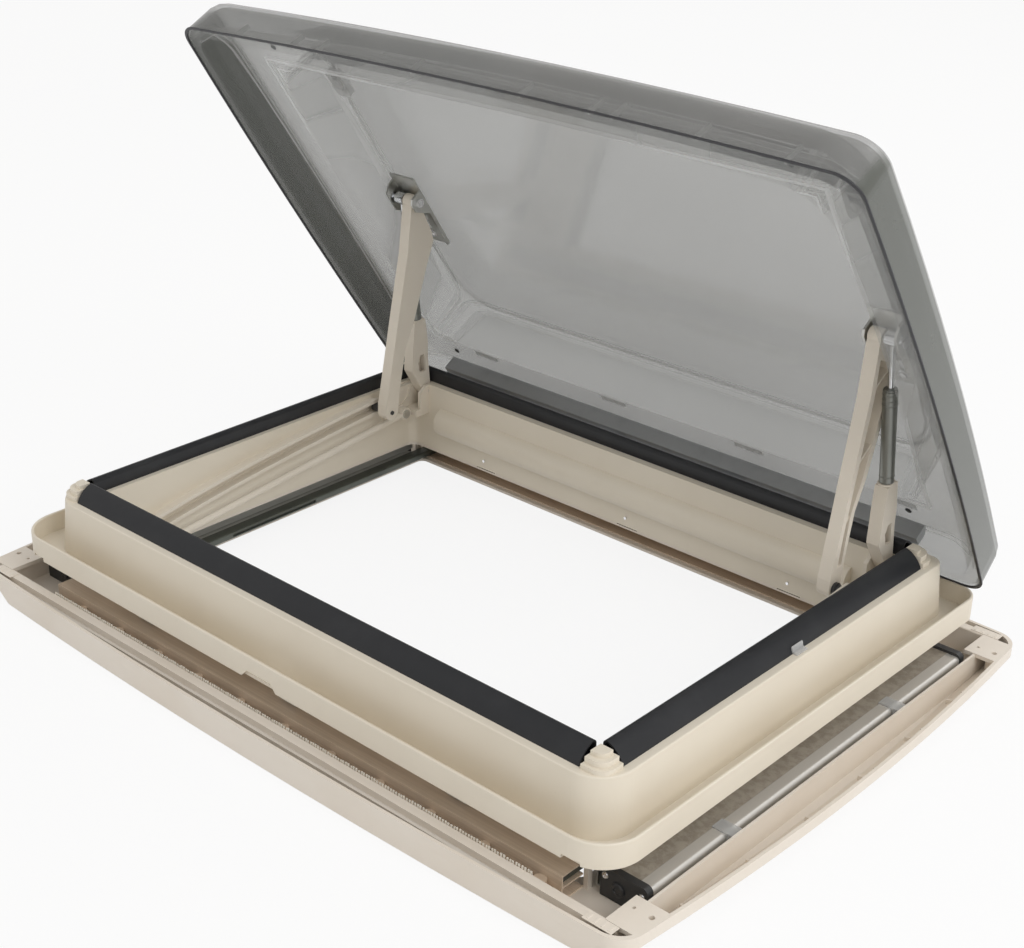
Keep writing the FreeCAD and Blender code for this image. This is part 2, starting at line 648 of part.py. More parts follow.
# Arms
def arm():
    """A cranked lifting arm, a channel with a boxed head and foot."""
    hy, hz = HEAD_OPEN
    outline_points = [(186.5, 284), (185.5, 279), (179.5, 228), (163.5, 153), (152.5, 99), (143.5, 56),
                      (143, 44), (147, 38.5), (157, 38), (161.5, 44), (165, 72), (174.5, 118),
                      (188, 146), (209, 208), (220, 236), (217, 247), (202, 276), (199, 284)]
    x0, x1 = ARM_X - ARM_W / 2, ARM_X + ARM_W / 2
    body = plate_yz(outline_points, x0, x1)
    body = body.fuse(cyl(7.6, (x0, hy, hz), (1, 0, 0), ARM_W))
    body = body.fuse(cyl(9.0, (x0, FOOT_Y, FOOT_Z), (1, 0, 0), ARM_W))
    pocket_points = [(190, 264), (187, 228), (170.5, 153), (159, 99), (153.5, 66), (160, 68),
                     (168, 118), (181, 147), (202, 209), (213, 237), (205, 258)]
    pocket = plate_yz(pocket_points, x0 + 3, x1 + 1)
    body = body.cut(pocket)
    ribs = []
    for z0, z1, ya, yb in ((232, 252, 184, 216), (160, 182, 168, 198), (100, 124, 156, 176)):
        ribs.append(plate_yz([(ya, z0), (ya, z0 + 2.4), (yb, z1 + 2.4), (yb, z1)], x0 + 2.5, x1 - 1.5))
    body = body.fuse(fuse(ribs[:1])).fuse(ribs[1]).fuse(ribs[2])
    body = body.cut(cyl(HEAD_PIN_R + 0.06, (x0 - 1, hy, hz), (1, 0, 0), ARM_W + 2))
    body = body.cut(cyl(2.5, (x0 - 1, FOOT_Y, FOOT_Z), (1, 0, 0), ARM_W + 2))
    return body.removeSplitter()


def foot_roller():
    """The axle and roller that run in the guide rail."""
    x0 = ARM_X + ARM_W / 2
    axle = cyl(2.45, (ARM_X - ARM_W / 2 - 1, FOOT_Y, FOOT_Z), (1, 0, 0), ARM_W + 14)
    flange = cyl(6.5, (x0 + 0.3, FOOT_Y, FOOT_Z), (1, 0, 0), 3.0)
    wheel = cyl(ROLLER_R, (x0 + 3.0, FOOT_Y, FOOT_Z), (1, 0, 0), 12.0)
    return fuse([axle, flange, wheel])


def guide_rail():
    """The slotted rail on the inner wall that an arm's foot runs along."""
    path = [foot_path(OPEN_DEG * i / 16.0) for i in range(17)]
    x1 = INNER_X / 2
    x0 = x1 - 12.0
    plate = swept_slot(path, RAIL_EDGE, x0, x0 + RAIL_T)
    back = swept_slot(path, RAIL_EDGE - 1.5, x0 + RAIL_T - 0.5, x1)
    hollow = swept_slot(path, ROLLER_R + SLOT_PLAY + 1.4, x0 + RAIL_T, x1 + 1)
    slot = swept_slot(path, ROLLER_R + SLOT_PLAY, x0 - 1, x0 + RAIL_T + 1)
    return plate.fuse(back).cut(hollow).cut(slot).removeSplitter()


def corner_bracket():
    """The housing in a rear corner for the spring fork and the bow pivot."""
    x1 = INNER_X / 2
    wall_y = INNER_Y / 2
    inner_x = BOW_X + 4.2
    plate = box(x1 - 5.5, x1, 172, wall_y, 18, 56)
    floor = box(POCKET_X, x1, 201, wall_y, 22, 30)
    boss = cyl(9.0, (inner_x, BOW_PIVOT_Y, BOW_PIVOT_Z), (1, 0, 0), x1 - inner_x)
    rib = plate_yz([(196, 22), (196, 34), (210, 44), (214, 30), (214, 22)], x1 - 7.3, x1 - 5)
    low = fuse([plate, floor, boss, rib]).common(slab(x1, wall_y, 0, 100, (10, 10)))
    ear = [(208, 30), (208, 50), (217, 57), (POCKET_Y, 57), (POCKET_Y, 30)]
    near = plate_yz(ear, POCKET_X, SPRING_X - 7.6)
    far = plate_yz(ear, SPRING_X + 7.6, x1)
    body = fuse([low, near, far])
    body = body.cut(cyl(3.05, (BOW_X, BOW_PIVOT_Y, BOW_PIVOT_Z), (1, 0, 0), x1 - BOW_X + 1))
    return body.cut(cyl(3.0, (POCKET_X - 1, SPRING_Y, SPRING_Z), (1, 0, 0), x1 - POCKET_X + 2))


# Gas springs
def spring_frame():
    """Unit vector and across vector of the open spring, in (y, z)."""
    d = turn((1.0, 0.0), SPRING_A0)
    return d, (-d[1], d[0])


def along(distance, side=0.0):
    """A (y, z) point on the open spring's line."""
    d, n = spring_frame()
    return (SPRING_Y + d[0] * distance + n[0] * side, SPRING_Z + d[1] * distance + n[1] * side)


def spring_fork():
    """The cranked cream fork at a spring's lower end."""
    pts = [along(-5, -2.5), along(-5, 4), along(4, 9), along(30, 20), along(64, 14), along(FORK_L, 8.5),
           along(FORK_L, -8.5), along(60, -9), along(40, -6.5), along(0, -5.5)]
    x0, x1 = SPRING_X - 7.0, SPRING_X + 7.0
    body = plate_yz(pts, x0, x1)
    gap_points = [along(12, -3.5), along(14, 6), along(32, 14), along(56, 9), along(58, -5), along(40, -3.5)]
    gap = plate_yz(gap_points, x0 + 3, x1 - 3)
    window = plate_yz([along(24, -1), along(26, 9), along(38, 10), along(46, 5), along(46, -1)], x0 - 1, x1 + 1)
    sleeve = cyl(8.4, (SPRING_X,) + along(FORK_L - 14), (0,) + spring_frame()[0], 16)
    body = body.fuse(sleeve.common(box(x0, x1, 0, 400, 0, 400)))
    body = body.cut(gap).cut(window)
    socket = cyl(SPRING_R, (SPRING_X,) + along(FORK_L - 10), (0,) + spring_frame()[0], 30)
    return body.cut(socket).cut(cyl(3.06, (x0 - 1, SPRING_Y, SPRING_Z), (1, 0, 0), 18)).removeSplitter()


def spring_cylinder():
    """The dark pressure tube."""
    d = (0,) + spring_frame()[0]
    tube = cyl(SPRING_R, (SPRING_X,) + along(FORK_L - 10), d, CYL_END - FORK_L + 10)
    collar = cyl(SPRING_R - 0.6, (SPRING_X,) + along(CYL_END), d, 1.5)
    bore = cyl(ROD_R + 0.05, (SPRING_X,) + along(FORK_L + 2), d, 200)
    return tube.fuse(collar).cut(bore).removeSplitter()


def spring_rod():
    """The polished rod with its piston end, eye and stud."""
    d = (0,) + spring_frame()[0]
    start = FORK_L + 2 + (SPRING_L0 - SPRING_L1) + 6
    rod = cyl(ROD_R, (SPRING_X,) + along(start), d, SPRING_L0 - start)
    eye = cyl(7.0, (SPRING_X - 5.5,) + HEAD_OPEN, (1, 0, 0), 11.0)
    stud = cyl(STUD_R, (SPRING_X - 5,) + HEAD_OPEN, (1, 0, 0), 18.0)
    nut = cyl(5.5, (SPRING_X + 11.3,) + HEAD_OPEN, (1, 0, 0), 2.2)
    return fuse([rod, eye, stud, nut])


def fork_pin():
    """The pin that a spring fork turns on."""
    return cyl(3.0, (POCKET_X, SPRING_Y, SPRING_Z), (1, 0, 0), INNER_X / 2 - POCKET_X)


# Operating bow
def bow():
    """The U-shaped tube with its eyes."""
    corner = 26.0
    dy, dz = BOW_FRONT_Y - BOW_PIVOT_Y, BOW_FRONT_Z - BOW_PIVOT_Z
    length = math.hypot(dy, dz)
    uy, uz = dy / length, dz / length
    pieces = []
    for sign in (-1, 1):
        x = sign * BOW_X
        start = (x, BOW_PIVOT_Y + uy * 6, BOW_PIVOT_Z + uz * 6)
        pieces.append(cyl(BOW_R, start, (0, uy, uz), length - corner - 6))
        bend = Part.makeTorus(corner, BOW_R, V(x - sign * corner, 0, 0), V(0, 0, 1))
        bend.rotate(V(0, 0, 0), V(1, 0, 0), math.degrees(math.atan2(-uz, -uy)))
        bend.translate(V(0, BOW_PIVOT_Y + uy * (length - corner), BOW_PIVOT_Z + uz * (length - corner)))
        limit_y = BOW_PIVOT_Y + uy * (length - corner)
        near, far = sorted((x, x - sign * corner))
        keep = box(near - 6, far + 6, limit_y - 60, limit_y, BOW_FRONT_Z - 30, BOW_FRONT_Z + 40)
        near, far = sorted((x - sign * corner, x + sign * 9))
        keep = keep.common(box(near, far, -400, 400, -50, 90))
        pieces.append(bend.common(keep))
        pieces.append(cyl(7.5, (x - 3.5, BOW_PIVOT_Y, BOW_PIVOT_Z), (1, 0, 0), 7.0))
    bar = cyl(BOW_R, (-BOW_X + corner, BOW_FRONT_Y, BOW_FRONT_Z), (1, 0, 0), 2 * (BOW_X - corner))
    body = fuse(pieces + [bar])
    for sign in (-1, 1):
        body = body.cut(cyl(3.0, (sign * BOW_X - 5, BOW_PIVOT_Y, BOW_PIVOT_Z), (1, 0, 0), 10))
    return body


def bow_pins():
    """The pins the bow turns on, fixed in the bow's eyes."""
    pins = []
    for sign in (-1, 1):
        pin = cyl(3.0, (BOW_X - 3.5, BOW_PIVOT_Y, BOW_PIVOT_Z), (1, 0, 0), 20.0)
        pin = pin.fuse(cyl(5.0, (BOW_X - 5.0, BOW_PIVOT_Y, BOW_PIVOT_Z), (1, 0, 0), 1.5))
        pins.append(pin if sign > 0 else mirrored(pin))
    return pins


def bow_grip():
    """The ribbed sleeve in the middle of the bow."""
    sleeve = cyl(7.0, (-62, BOW_FRONT_Y, BOW_FRONT_Z), (1, 0, 0), 124)
    rings = [cyl(7.8, (-50 + 24 * i, BOW_FRONT_Y, BOW_FRONT_Z), (1, 0, 0), 4) for i in range(5)]
    return fuse([sleeve] + rings).cut(cyl(BOW_R, (-80, BOW_FRONT_Y, BOW_FRONT_Z), (1, 0, 0), 160))


def bow_holder(x):
    """A clip seat on the front wall with a pocket for its push button."""
    face_y = -INNER_Y / 2 + HOLDER_T
    block = box(x - 16, x + 16, -INNER_Y / 2, face_y, BOW_FRONT_Z, BOW_FRONT_Z + 30)
    jaw_z = BOW_FRONT_Z + BOW_R + 0.5
    jaw = box(x - 12, x + 12, face_y - 1, BOW_FRONT_Y + 3, jaw_z, jaw_z + 3)
    body = block.fuse(jaw)
    body = body.cut(cyl(BOW_R + 0.4, (x - 30, BOW_FRONT_Y, BOW_FRONT_Z), (1, 0, 0), 60))
    pocket = box(x - 8.2, x + 8.2, -INNER_Y / 2 + 1.5, face_y + 1, BOW_FRONT_Z + 14, BOW_FRONT_Z + 24.4)
    return body.cut(pocket).removeSplitter()


def bow_button(x):
    """The push button of a bow holder."""
    y0, y1 = -INNER_Y / 2 + 6.0, -INNER_Y / 2 + HOLDER_T + 4.5
    body = box(x - 8, x + 8, y0, y1, BOW_FRONT_Z + 14.3, BOW_FRONT_Z + 24)
    return body.makeFillet(1.5, [e for e in body.Edges if abs(e.CenterOfMass.y - y1) < 1e-6])


# Ceiling frame
def bowed_plan(hx, hy, bow_x, bow_y, z0, z1, r):
    """A plate with four bowed sides."""
    pts = [V(-hx, -hy, z0), V(hx, -hy, z0), V(hx, hy, z0), V(-hx, hy, z0)]
    mids = [V(0, -hy - bow_y, z0), V(hx + bow_x, 0, z0), V(0, hy + bow_y, z0), V(-hx - bow_x, 0, z0)]
    edges = [arc(pts[i], mids[i], pts[(i + 1) % 4]) for i in range(4)]
    solid = Part.Face(Part.Wire(edges)).extrude(V(0, 0, z1 - z0))
    corners = [e for e in solid.Edges if e.BoundBox.XLength < 1e-6 and e.BoundBox.YLength < 1e-6]
    return solid.makeFillet(r, corners)


def side_x(y):
    """X of the bowed side at one Y."""
    half = CEIL_HY
    radius = (half ** 2 + CEIL_BOW_X ** 2) / (2 * CEIL_BOW_X)
    return CEIL_HX + CEIL_BOW_X - radius + math.sqrt(radius ** 2 - y ** 2)


def bowed_wire(inset_x, inset_y, z):
    """The ceiling frame's plan at one height, drawn in from its rim."""
    solid = bowed_plan(CEIL_HX - inset_x, CEIL_HY - inset_y, CEIL_BOW_X, CEIL_BOW_Y, z, z + 1, CEIL_R)
    return min(solid.Faces, key=lambda face: face.CenterOfMass.z).OuterWire


def bowl(inset, knee_z, low_z, top_z, low_inset):
    """The solid that a bowed rim with sloping sides encloses."""
    rim = bowed_plan(CEIL_HX - inset, CEIL_HY - inset, CEIL_BOW_X, CEIL_BOW_Y, knee_z, top_z, CEIL_R)
    wires = [bowed_wire(CEIL_SLOPE_X + low_inset, CEIL_SLOPE_Y + inset, low_z), bowed_wire(inset, inset, knee_z)]
    return rim.fuse(Part.makeLoft(wires, True, True))


def ceiling_frame():
    """The bowed frame under the ceiling with its troughs, ribs and corner pads."""
    outer = bowl(0.0, CEIL_KNEE_Z, CEIL_BOTTOM, CEIL_TOP, 0.0)
    body = outer.cut(bowl(CEIL_T, CEIL_KNEE_Z + 1.4, CEIL_BOTTOM + CEIL_T, CEIL_TOP + 1, 1.2))
    body = body.cut(slab(OPEN_X, OPEN_Y, CEIL_BOTTOM - 1, CEIL_TOP + 1, (8, 8)))
    z0 = CEIL_BOTTOM + CEIL_T - 0.5
    walls = []
    for sign in (-1, 1):
        x = sign * TROUGH_X
        walls.append(box(x - 1.2, x + 1.2, -TRACK_OUT - 2, TRACK_OUT + 2, z0, CEIL_TOP - 1))
        y = sign * (TRACK_OUT + 2.5)
        walls.append(box(-TROUGH_X, TROUGH_X, y - 1.2, y + 1.2, z0, CEIL_TOP - 1))
        y = sign * (TRACK_OUT + 10)
        walls.append(box(-TROUGH_X + 10, TROUGH_X - 10, y - 1.0, y + 1.0, z0, CEIL_TOP - 0.5))
    strip = []
    for sign in (-1, 1):
        y = sign * (TRACK_OUT + 6.5)
        strip.append(box(-TROUGH_X + 10, TROUGH_X - 10, y - 4.5, y + 4.5, CEIL_TOP - 2.5, CEIL_TOP - 0.5))
    ribs = []
    for i in range(6):
        for sign in (-1, 1):
            ribs.append(trough_rib(sign, RIB_START_Y + i * RIB_PITCH_Y))
    frame = fuse([body] + walls + strip + ribs + corner_pads() + corner_posts())
    frame = frame.common(bowl(0.0, CEIL_KNEE_Z, CEIL_BOTTOM, 0.0, 0.0))
    for sx in (-1, 1):
        for sy in (-1, 1):
            frame = frame.cut(cyl(1.6, (sx * PAD_HOLE_X, sy * PAD_HOLE_Y, CEIL_TOP - 8), (0, 0, 1), 12))
            frame = frame.cut(cyl(2.6, (sx * PAD_BIG_X, sy * PAD_HOLE_Y, SEAT_Z - 1), (0, 0, 1), 20))
            sink = (sx * PAD_BIG_X, sy * PAD_HOLE_Y, CEIL_BOTTOM - 1)
            frame = frame.cut(cyl(5.0, sink, (0, 0, 1), SEAT_Z - CEIL_BOTTOM + 1))
    return frame.removeSplitter()


def trough_rib(sign, y):
    """A small gusset with a scoop between the floor and the rim of a side trough."""
    x1 = side_x(y) - 1.0
    x0 = x1 - RIB_L
    rib = box(x0, x1, y - 1.3, y + 1.3, CEIL_BOTTOM + CEIL_T - 0.5, CEIL_TOP - 3)
    scoop = cyl(15.0, (x0 - 1.0, y - 3, CEIL_TOP - 3), (0, 1, 0), 6)
    rib = rib.cut(scoop)
    return rib if sign > 0 else mirrored(rib)


def corner_pads():
    """The screw pads in the four corners of the troughs."""
    pads = []
    for sx in (-1, 1):
        for sy in (-1, 1):
            x0, x1 = sorted((sx * (TROUGH_X - 11), sx * (PAD_BIG_X + 8)))
            y0, y1 = sorted((sy * (PAD_HOLE_Y - 13), sy * (PAD_HOLE_Y + 25)))
            pads.append(box(x0, x1, y0, y1, CEIL_TOP - 4, CEIL_TOP))
            foot = (sx * PAD_BIG_X, sy * PAD_HOLE_Y, CEIL_BOTTOM)
            pads.append(cyl(7.0, foot, (0, 0, 1), CEIL_TOP - CEIL_BOTTOM - 1))
    return pads


def corner_posts():
    """Posts and the sleeve that grips the spigot of the roof frame."""
    pieces = []
    ix, iy = INNER_X / 2 + WALL, INNER_Y / 2 + WALL
    pieces.append(ring(BAY_X, TRACK_Y, BAY_X - ix, CEIL_TOP - 2, CEIL_TOP, (6, 6)).fuse(
        ring(BAY_X, TRACK_Y, 4, CEIL_TOP - 2, CEIL_TOP, (6, 6))))
    sides = []
    for sy in (-1, 1):
        y0, y1 = sorted((sy * iy, sy * TRACK_Y))
        sides.append(box(-BAY_X, BAY_X, y0, y1, CEIL_TOP - 2, CEIL_TOP))
    pieces += sides
    sleeve = slab(ix + 2.2, iy + 2.2, CEIL_TOP - 2, -8, (14, 14)).cut(slab(ix, iy, CEIL_TOP - 3, -7, (13, 13)))
    gaps = [box(x - 14, x + 14, -iy - 5, iy + 5, CEIL_TOP + 0.01, 0) for x in (-210.0, 0.0, 210.0)]
    pieces.append(sleeve.cut(Part.Compound(gaps)))
    for sx in (-1, 1):
        for sy in (-1, 1):
            x0, x1 = sorted((sx * (OPEN_X + 7.5), sx * BAY_X))
            y0, y1 = sorted((sy * (OPEN_Y + 0.5), sy * TRACK_Y))
            pieces.append(box(x0, x1, y0, y1, CEIL_BOTTOM + 1, CEIL_TOP - 1))
    return pieces


def blind_track(sign):
    """The two-lane track for the pull bars, with its row of rounded lugs."""
    pieces = []
    track_x = BAY_X - 5
    floor_z = CEIL_BOTTOM + CEIL_T
    zs = ((CEIL_TOP - 3.5, CEIL_TOP - 2.01), (-39.6, -38.1), (floor_z, floor_z + 1.5))
    for z0, z1 in zs:
        pieces.append(box(-track_x, track_x, TRACK_Y, TRACK_BACK, z0, z1))
    pieces.append(box(-track_x, track_x, TRACK_BACK - 1.5, TRACK_BACK, floor_z, CEIL_TOP - 2.01))
    pieces.append(box(-track_x, track_x, TRACK_BACK - 0.5, TRACK_OUT + 1.2, floor_z, floor_z + 1.5))
    for i in range(-5, 6):
        lug = cyl(6.0, (i * RIB_PITCH_X + 14, TRACK_BACK + 5.5, floor_z), (0, 0, 1), 17)
        pieces.append(lug)
    track = fuse(pieces)
    return track if sign > 0 else track.mirror(V(0, 0, 0), V(0, 1, 0))


def groove_strip(sign):
    """The narrow tan strip that lies in the outer groove."""
    y0 = TRACK_OUT + 11.05
    strip = box(25 - TROUGH_X, TROUGH_X - 25, y0, y0 + 3.6, CEIL_BOTTOM + CEIL_T, CEIL_TOP - 7)
    return strip if sign > 0 else strip.mirror(V(0, 0, 0), V(0, 1, 0))


def brush(sign):
    """A comb of short bristles along the track."""
    y = TRACK_OUT + 1.3
    pitch, count = 6.4, 100
    pts = [V(-320, y - 1.1, CEIL_TOP - 6)]
    for i in range(count):
        x = -320 + i * pitch
        pts += [V(x, y - 1.1, CEIL_TOP + 2.0), V(x + pitch * 0.62, y - 1.1, CEIL_TOP + 2.0),
                V(x + pitch * 0.62, y - 1.1, CEIL_TOP - 2.0), V(x + pitch * 0.98, y - 1.1, CEIL_TOP - 2.0)]
    pts += [V(-320 + count * pitch, y - 1.1, CEIL_TOP - 6)]
    comb = Part.Face(Part.makePolygon(pts + [pts[0]])).extrude(V(0, 1.0, 0))
    return comb if sign > 0 else comb.mirror(V(0, 0, 0), V(0, 1, 0))


# Blinds
def cassette(lane_z):
    """The aluminium channel round a roller, open for the cloth on the inner side."""
    x0, x1 = BAY_X + 0.5, TROUGH_X - 7
    half = TRACK_Y - 10
    z0, z1 = CEIL_BOTTOM + CEIL_T, CEIL_TOP - 2
    body = box(x0, x1, -half, half, z0, z1)
    corner = [e for e in body.Edges if abs(e.CenterOfMass.x - x1) < 1e-6 and abs(e.CenterOfMass.z - z1) < 1e-6]
    body = body.makeFillet(4.0, corner)
    body = body.cut(box(x0 + 1.5, x1 - 1.5, -half - 4, half + 4, z0 + 1.5, z1 - 1.5))
    body = body.cut(box(x0 - 1, x0 + 3, -half - 4, half + 4, lane_z - 2.2, lane_z + 2.2))
    return body


def end_bracket(sy):
    """The black bracket that closes one end of a cassette."""
    y0, y1 = sorted((sy * (TRACK_Y - 10), sy * (TRACK_Y - 3)))
    z0, z1 = CEIL_BOTTOM + CEIL_T, CEIL_TOP + 1
    plate = box(BAY_X + 10, TROUGH_X - 6, y0, y1, z0, z1)
    plate = plate.makeFillet(6.0, [e for e in plate.Edges if e.BoundBox.YLength > 5 and e.CenterOfMass.z > -30])
    return plate.cut(cyl(3.05, (ROLLER_X, min(y0, y1) - 1, ROLLER_Z), (0, 1, 0), 9))


def cassette_clip(y):
    """A clear clip over the top of a cassette."""
    z1 = CEIL_TOP - 2
    x1 = TROUGH_X - 1.2
    top = box(x1 - 19.8, x1, y - 7, y + 7, z1, z1 + 1.6)
    return top.fuse(box(x1 - 5.2, x1, y - 7, y + 7, z1 - 10, z1 + 1.6))


def roller():
    """The tube with its two journals."""
    half = TRACK_Y - 12
    tube = cyl(TUBE_R, (ROLLER_X, -half, ROLLER_Z), (0, 1, 0), 2 * half)
    axle = cyl(3.0, (ROLLER_X, -half - 8, ROLLER_Z), (0, 1, 0), 2 * half + 16)
    return tube.fuse(axle)


def wound_cloth():
    """The cloth wound on a roller, as a sleeve."""
    half = TRACK_Y - 14
    sleeve = cyl(ROLL_R, (ROLLER_X, -half, ROLLER_Z), (0, 1, 0), 2 * half)
    return sleeve.cut(cyl(TUBE_R, (ROLLER_X, -half - 8, ROLLER_Z), (0, 1, 0), 2 * half + 16))


def cloth_run(lane_z):
    """The short flat run of cloth between roll and pull bar."""
    reach = math.sqrt(ROLL_R ** 2 - (lane_z - ROLLER_Z) ** 2)
    half = TRACK_Y - 14
    return box(BAR_X + BAR_W / 2, ROLLER_X - reach - 0.4, -half, half, lane_z - 0.25, lane_z + 0.25)


def pull_bar(lane_z):
    """The bar across the opening that draws a blind out."""
    body = box(BAR_X - BAR_W / 2, BAR_X + BAR_W / 2, -BAR_L / 2, BAR_L / 2, lane_z - BAR_H / 2, lane_z + BAR_H / 2)
    body = body.makeFillet(1.6, [e for e in body.Edges if e.BoundBox.YLength > 100])
    groove = box(BAR_X - BAR_W / 2 - 1, BAR_X - BAR_W / 2 + 2.5, -60, 60, lane_z - 1.8, lane_z + 1.8)
    return body.cut(groove)


def build():
    """Make and write every node."""
    os.makedirs(OUT, exist_ok=True)
    save("roof_frame", roof_frame())
    right_seal = seal(SEAL_SIDE_L, right_place)
    save("front_seal", seal(SEAL_FRONT_L, front_place))
    save("rear_seal", seal(SEAL_FRONT_L, rear_place))
    save("right_seal", right_seal)
    save("left_seal", mirrored(right_seal))
    save("seal_corner_plugs", *[corner_plug(sx, sy) for sx in (-1, 1) for sy in (-1, 1)])
    save("hinge_pins", *[cyl(HINGE_PIN_R, (x0 - 2, HINGE_Y, HINGE_Z), (1, 0, 0), x1 - x0 + 4)
                         for x0, _, _, x1 in knuckle_spans()])
    save("mounting_claws", *[claw(x, s) for x, s in claw_places()])
    save("claw_screws", *[claw_screw(x, s) for x, s in claw_places()])
    save("dome_shell", opened(dome_shell()))
    pane = dome_pane()
    save("dome_pane", opened(pane))
    save("rim_strip", opened(rim_strip()))
    save("dome_hinge_bar", opened(hinge_profile()))
    bracket = opened(under_pane(dome_bracket(304.0), pane))
    screws = [opened(s) for s in bracket_screws()]
    save("right_dome_bracket", bracket)
    save("left_dome_bracket", mirrored(bracket))
    save("dome_bracket_screws", *(screws + [mirrored(s) for s in screws]))
    pads = [opened(under_pane(latch_pad(313.0), pane))]
    save("dome_latch_seats", *(pads + [mirrored(p) for p in pads]))
    save("dome_rear_pads", *[opened(rear_pad(x)) for x in (-250.0, -60.0, 120.0, 300.0)])
    sided("head_pin", opened(head_pin()))
    sided("lift_arm", arm())
    sided("foot_roller", foot_roller())
    sided("guide_rail", guide_rail())
    sided("corner_bracket", corner_bracket())
    sided("fork_pin", fork_pin())
    sided("spring_fork", spring_fork())
    sided("spring_cylinder", spring_cylinder())
    sided("spring_rod", spring_rod())
    save("operating_bow", bow())
    save("bow_pivot_pins", *bow_pins())
    save("bow_grip", bow_grip())
    save("bow_holders", bow_holder(-190.0), bow_holder(190.0))
    save("left_bow_button", bow_button(-190.0))
    save("right_bow_button", bow_button(190.0))
    save("ceiling_frame", ceiling_frame())
    save("front_blind_track", blind_track(-1))
    save("rear_blind_track", blind_track(1))
    save("groove_strips", groove_strip(-1), groove_strip(1))
    save("front_brush", brush(-1))
    save("rear_brush", brush(1))
    save("flyscreen_cassette", cassette(UPPER_Z))
    save("blackout_cassette", mirrored(cassette(LOWER_Z)))
    ends = [end_bracket(-1), end_bracket(1)]
    save("cassette_end_brackets", *(ends + [mirrored(e) for e in ends]))
    clips = [cassette_clip(y) for y in (-134.0, 120.0)]
    save("cassette_clips", *(clips + [mirrored(c) for c in clips]))
    save("flyscreen_roller", roller())
    save("blackout_roller", mirrored(roller()))
    save("flyscreen_roll", wound_cloth())
    save("blackout_roll", mirrored(wound_cloth()))
    save("flyscreen_cloth", cloth_run(UPPER_Z))
    save("blackout_cloth", mirrored(cloth_run(LOWER_Z)))
    save("flyscreen_bar", pull_bar(UPPER_Z))
    save("blackout_bar", mirrored(pull_bar(LOWER_Z)))


def sided(name, shape):
    """Write a piece for the right side and its mirror image for the left."""
    save("right_" + name, shape)
    save("left_" + name, mirrored(shape))


build()
print("arm ratio", round(ARM_TURN - 1.0, 5), "foot closed", round(FOOT_CLOSED_Y, 2), FOOT_CLOSED_Z)
print("spring ratio", round((SPRING_A1 - SPRING_A0) / OPEN_DEG, 5), "stroke", round(SPRING_L0 - SPRING_L1, 3))
print("head", HEAD_OPEN, "spring L", SPRING_L0, SPRING_L1, "angles", SPRING_A0, SPRING_A1)
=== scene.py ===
"""Looks of a hinged roof light: finishes, small fittings and a studio round its CAD model.

The pieces' lengths are in millimetres, in the model's own frame, and turned to metres where a
mesh is made; materials and the studio count in metres. The origin is the centre of the roof
cut-out on the roof's outer skin, +X runs along the hinge, +Y points to the hinge side and +Z
out of the roof.
"""

import logging
import math
import random
from dataclasses import dataclass, field
from enum import Enum
from typing import Any, Iterable, Sequence

import bmesh
import bpy
from mathutils import Matrix, Vector


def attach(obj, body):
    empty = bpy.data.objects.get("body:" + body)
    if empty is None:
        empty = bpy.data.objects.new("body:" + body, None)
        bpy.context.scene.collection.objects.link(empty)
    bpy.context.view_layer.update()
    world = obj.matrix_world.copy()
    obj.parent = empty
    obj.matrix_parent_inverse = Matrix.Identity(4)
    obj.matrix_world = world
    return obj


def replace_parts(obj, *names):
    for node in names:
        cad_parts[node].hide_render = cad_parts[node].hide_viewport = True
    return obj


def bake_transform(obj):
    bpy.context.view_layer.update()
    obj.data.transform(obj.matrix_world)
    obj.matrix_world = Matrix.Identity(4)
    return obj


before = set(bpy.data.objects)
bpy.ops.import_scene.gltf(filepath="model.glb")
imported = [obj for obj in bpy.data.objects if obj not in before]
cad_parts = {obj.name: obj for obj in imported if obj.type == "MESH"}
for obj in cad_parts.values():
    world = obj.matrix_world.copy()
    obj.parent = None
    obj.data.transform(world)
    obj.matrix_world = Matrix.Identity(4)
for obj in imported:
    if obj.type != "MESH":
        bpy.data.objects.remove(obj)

LOG = logging.getLogger("roof_light")
MM = 0.001
# The dome is drawn closed and turned open about its hinge.
HINGE = Vector((0.0, 266.0, 47.0))
OPEN_ANGLE = math.radians(56.26)
DOME_AT_REST = (
    Matrix.Translation(HINGE) @ Matrix.Rotation(-OPEN_ANGLE, 4, "X") @ Matrix.Translation(-HINGE)
)
# The height of the closed dome's lower edge.
RIM_Z = 44.8
# The UV map that follows a cloth's threads.
WEAVE = "weave"

Colour = tuple[float, float, float]
Point = tuple[float, float, float]


class Side(Enum):
    """The two mirrored halves of the roof light, seen from the opening side."""

    LEFT = -1
    RIGHT = 1

    @property
    def word(self) -> str:
        """The side's name as CAD nodes spell it."""
        return self.name.lower()


class Lay(Enum):
    """The direction in which a profile is drawn or brushed."""

    ALONG_X = (0.02, 1.0, 1.0)
    ALONG_Y = (1.0, 0.02, 1.0)
    ALONG_Z = (1.0, 1.0, 0.02)


# Shader maths


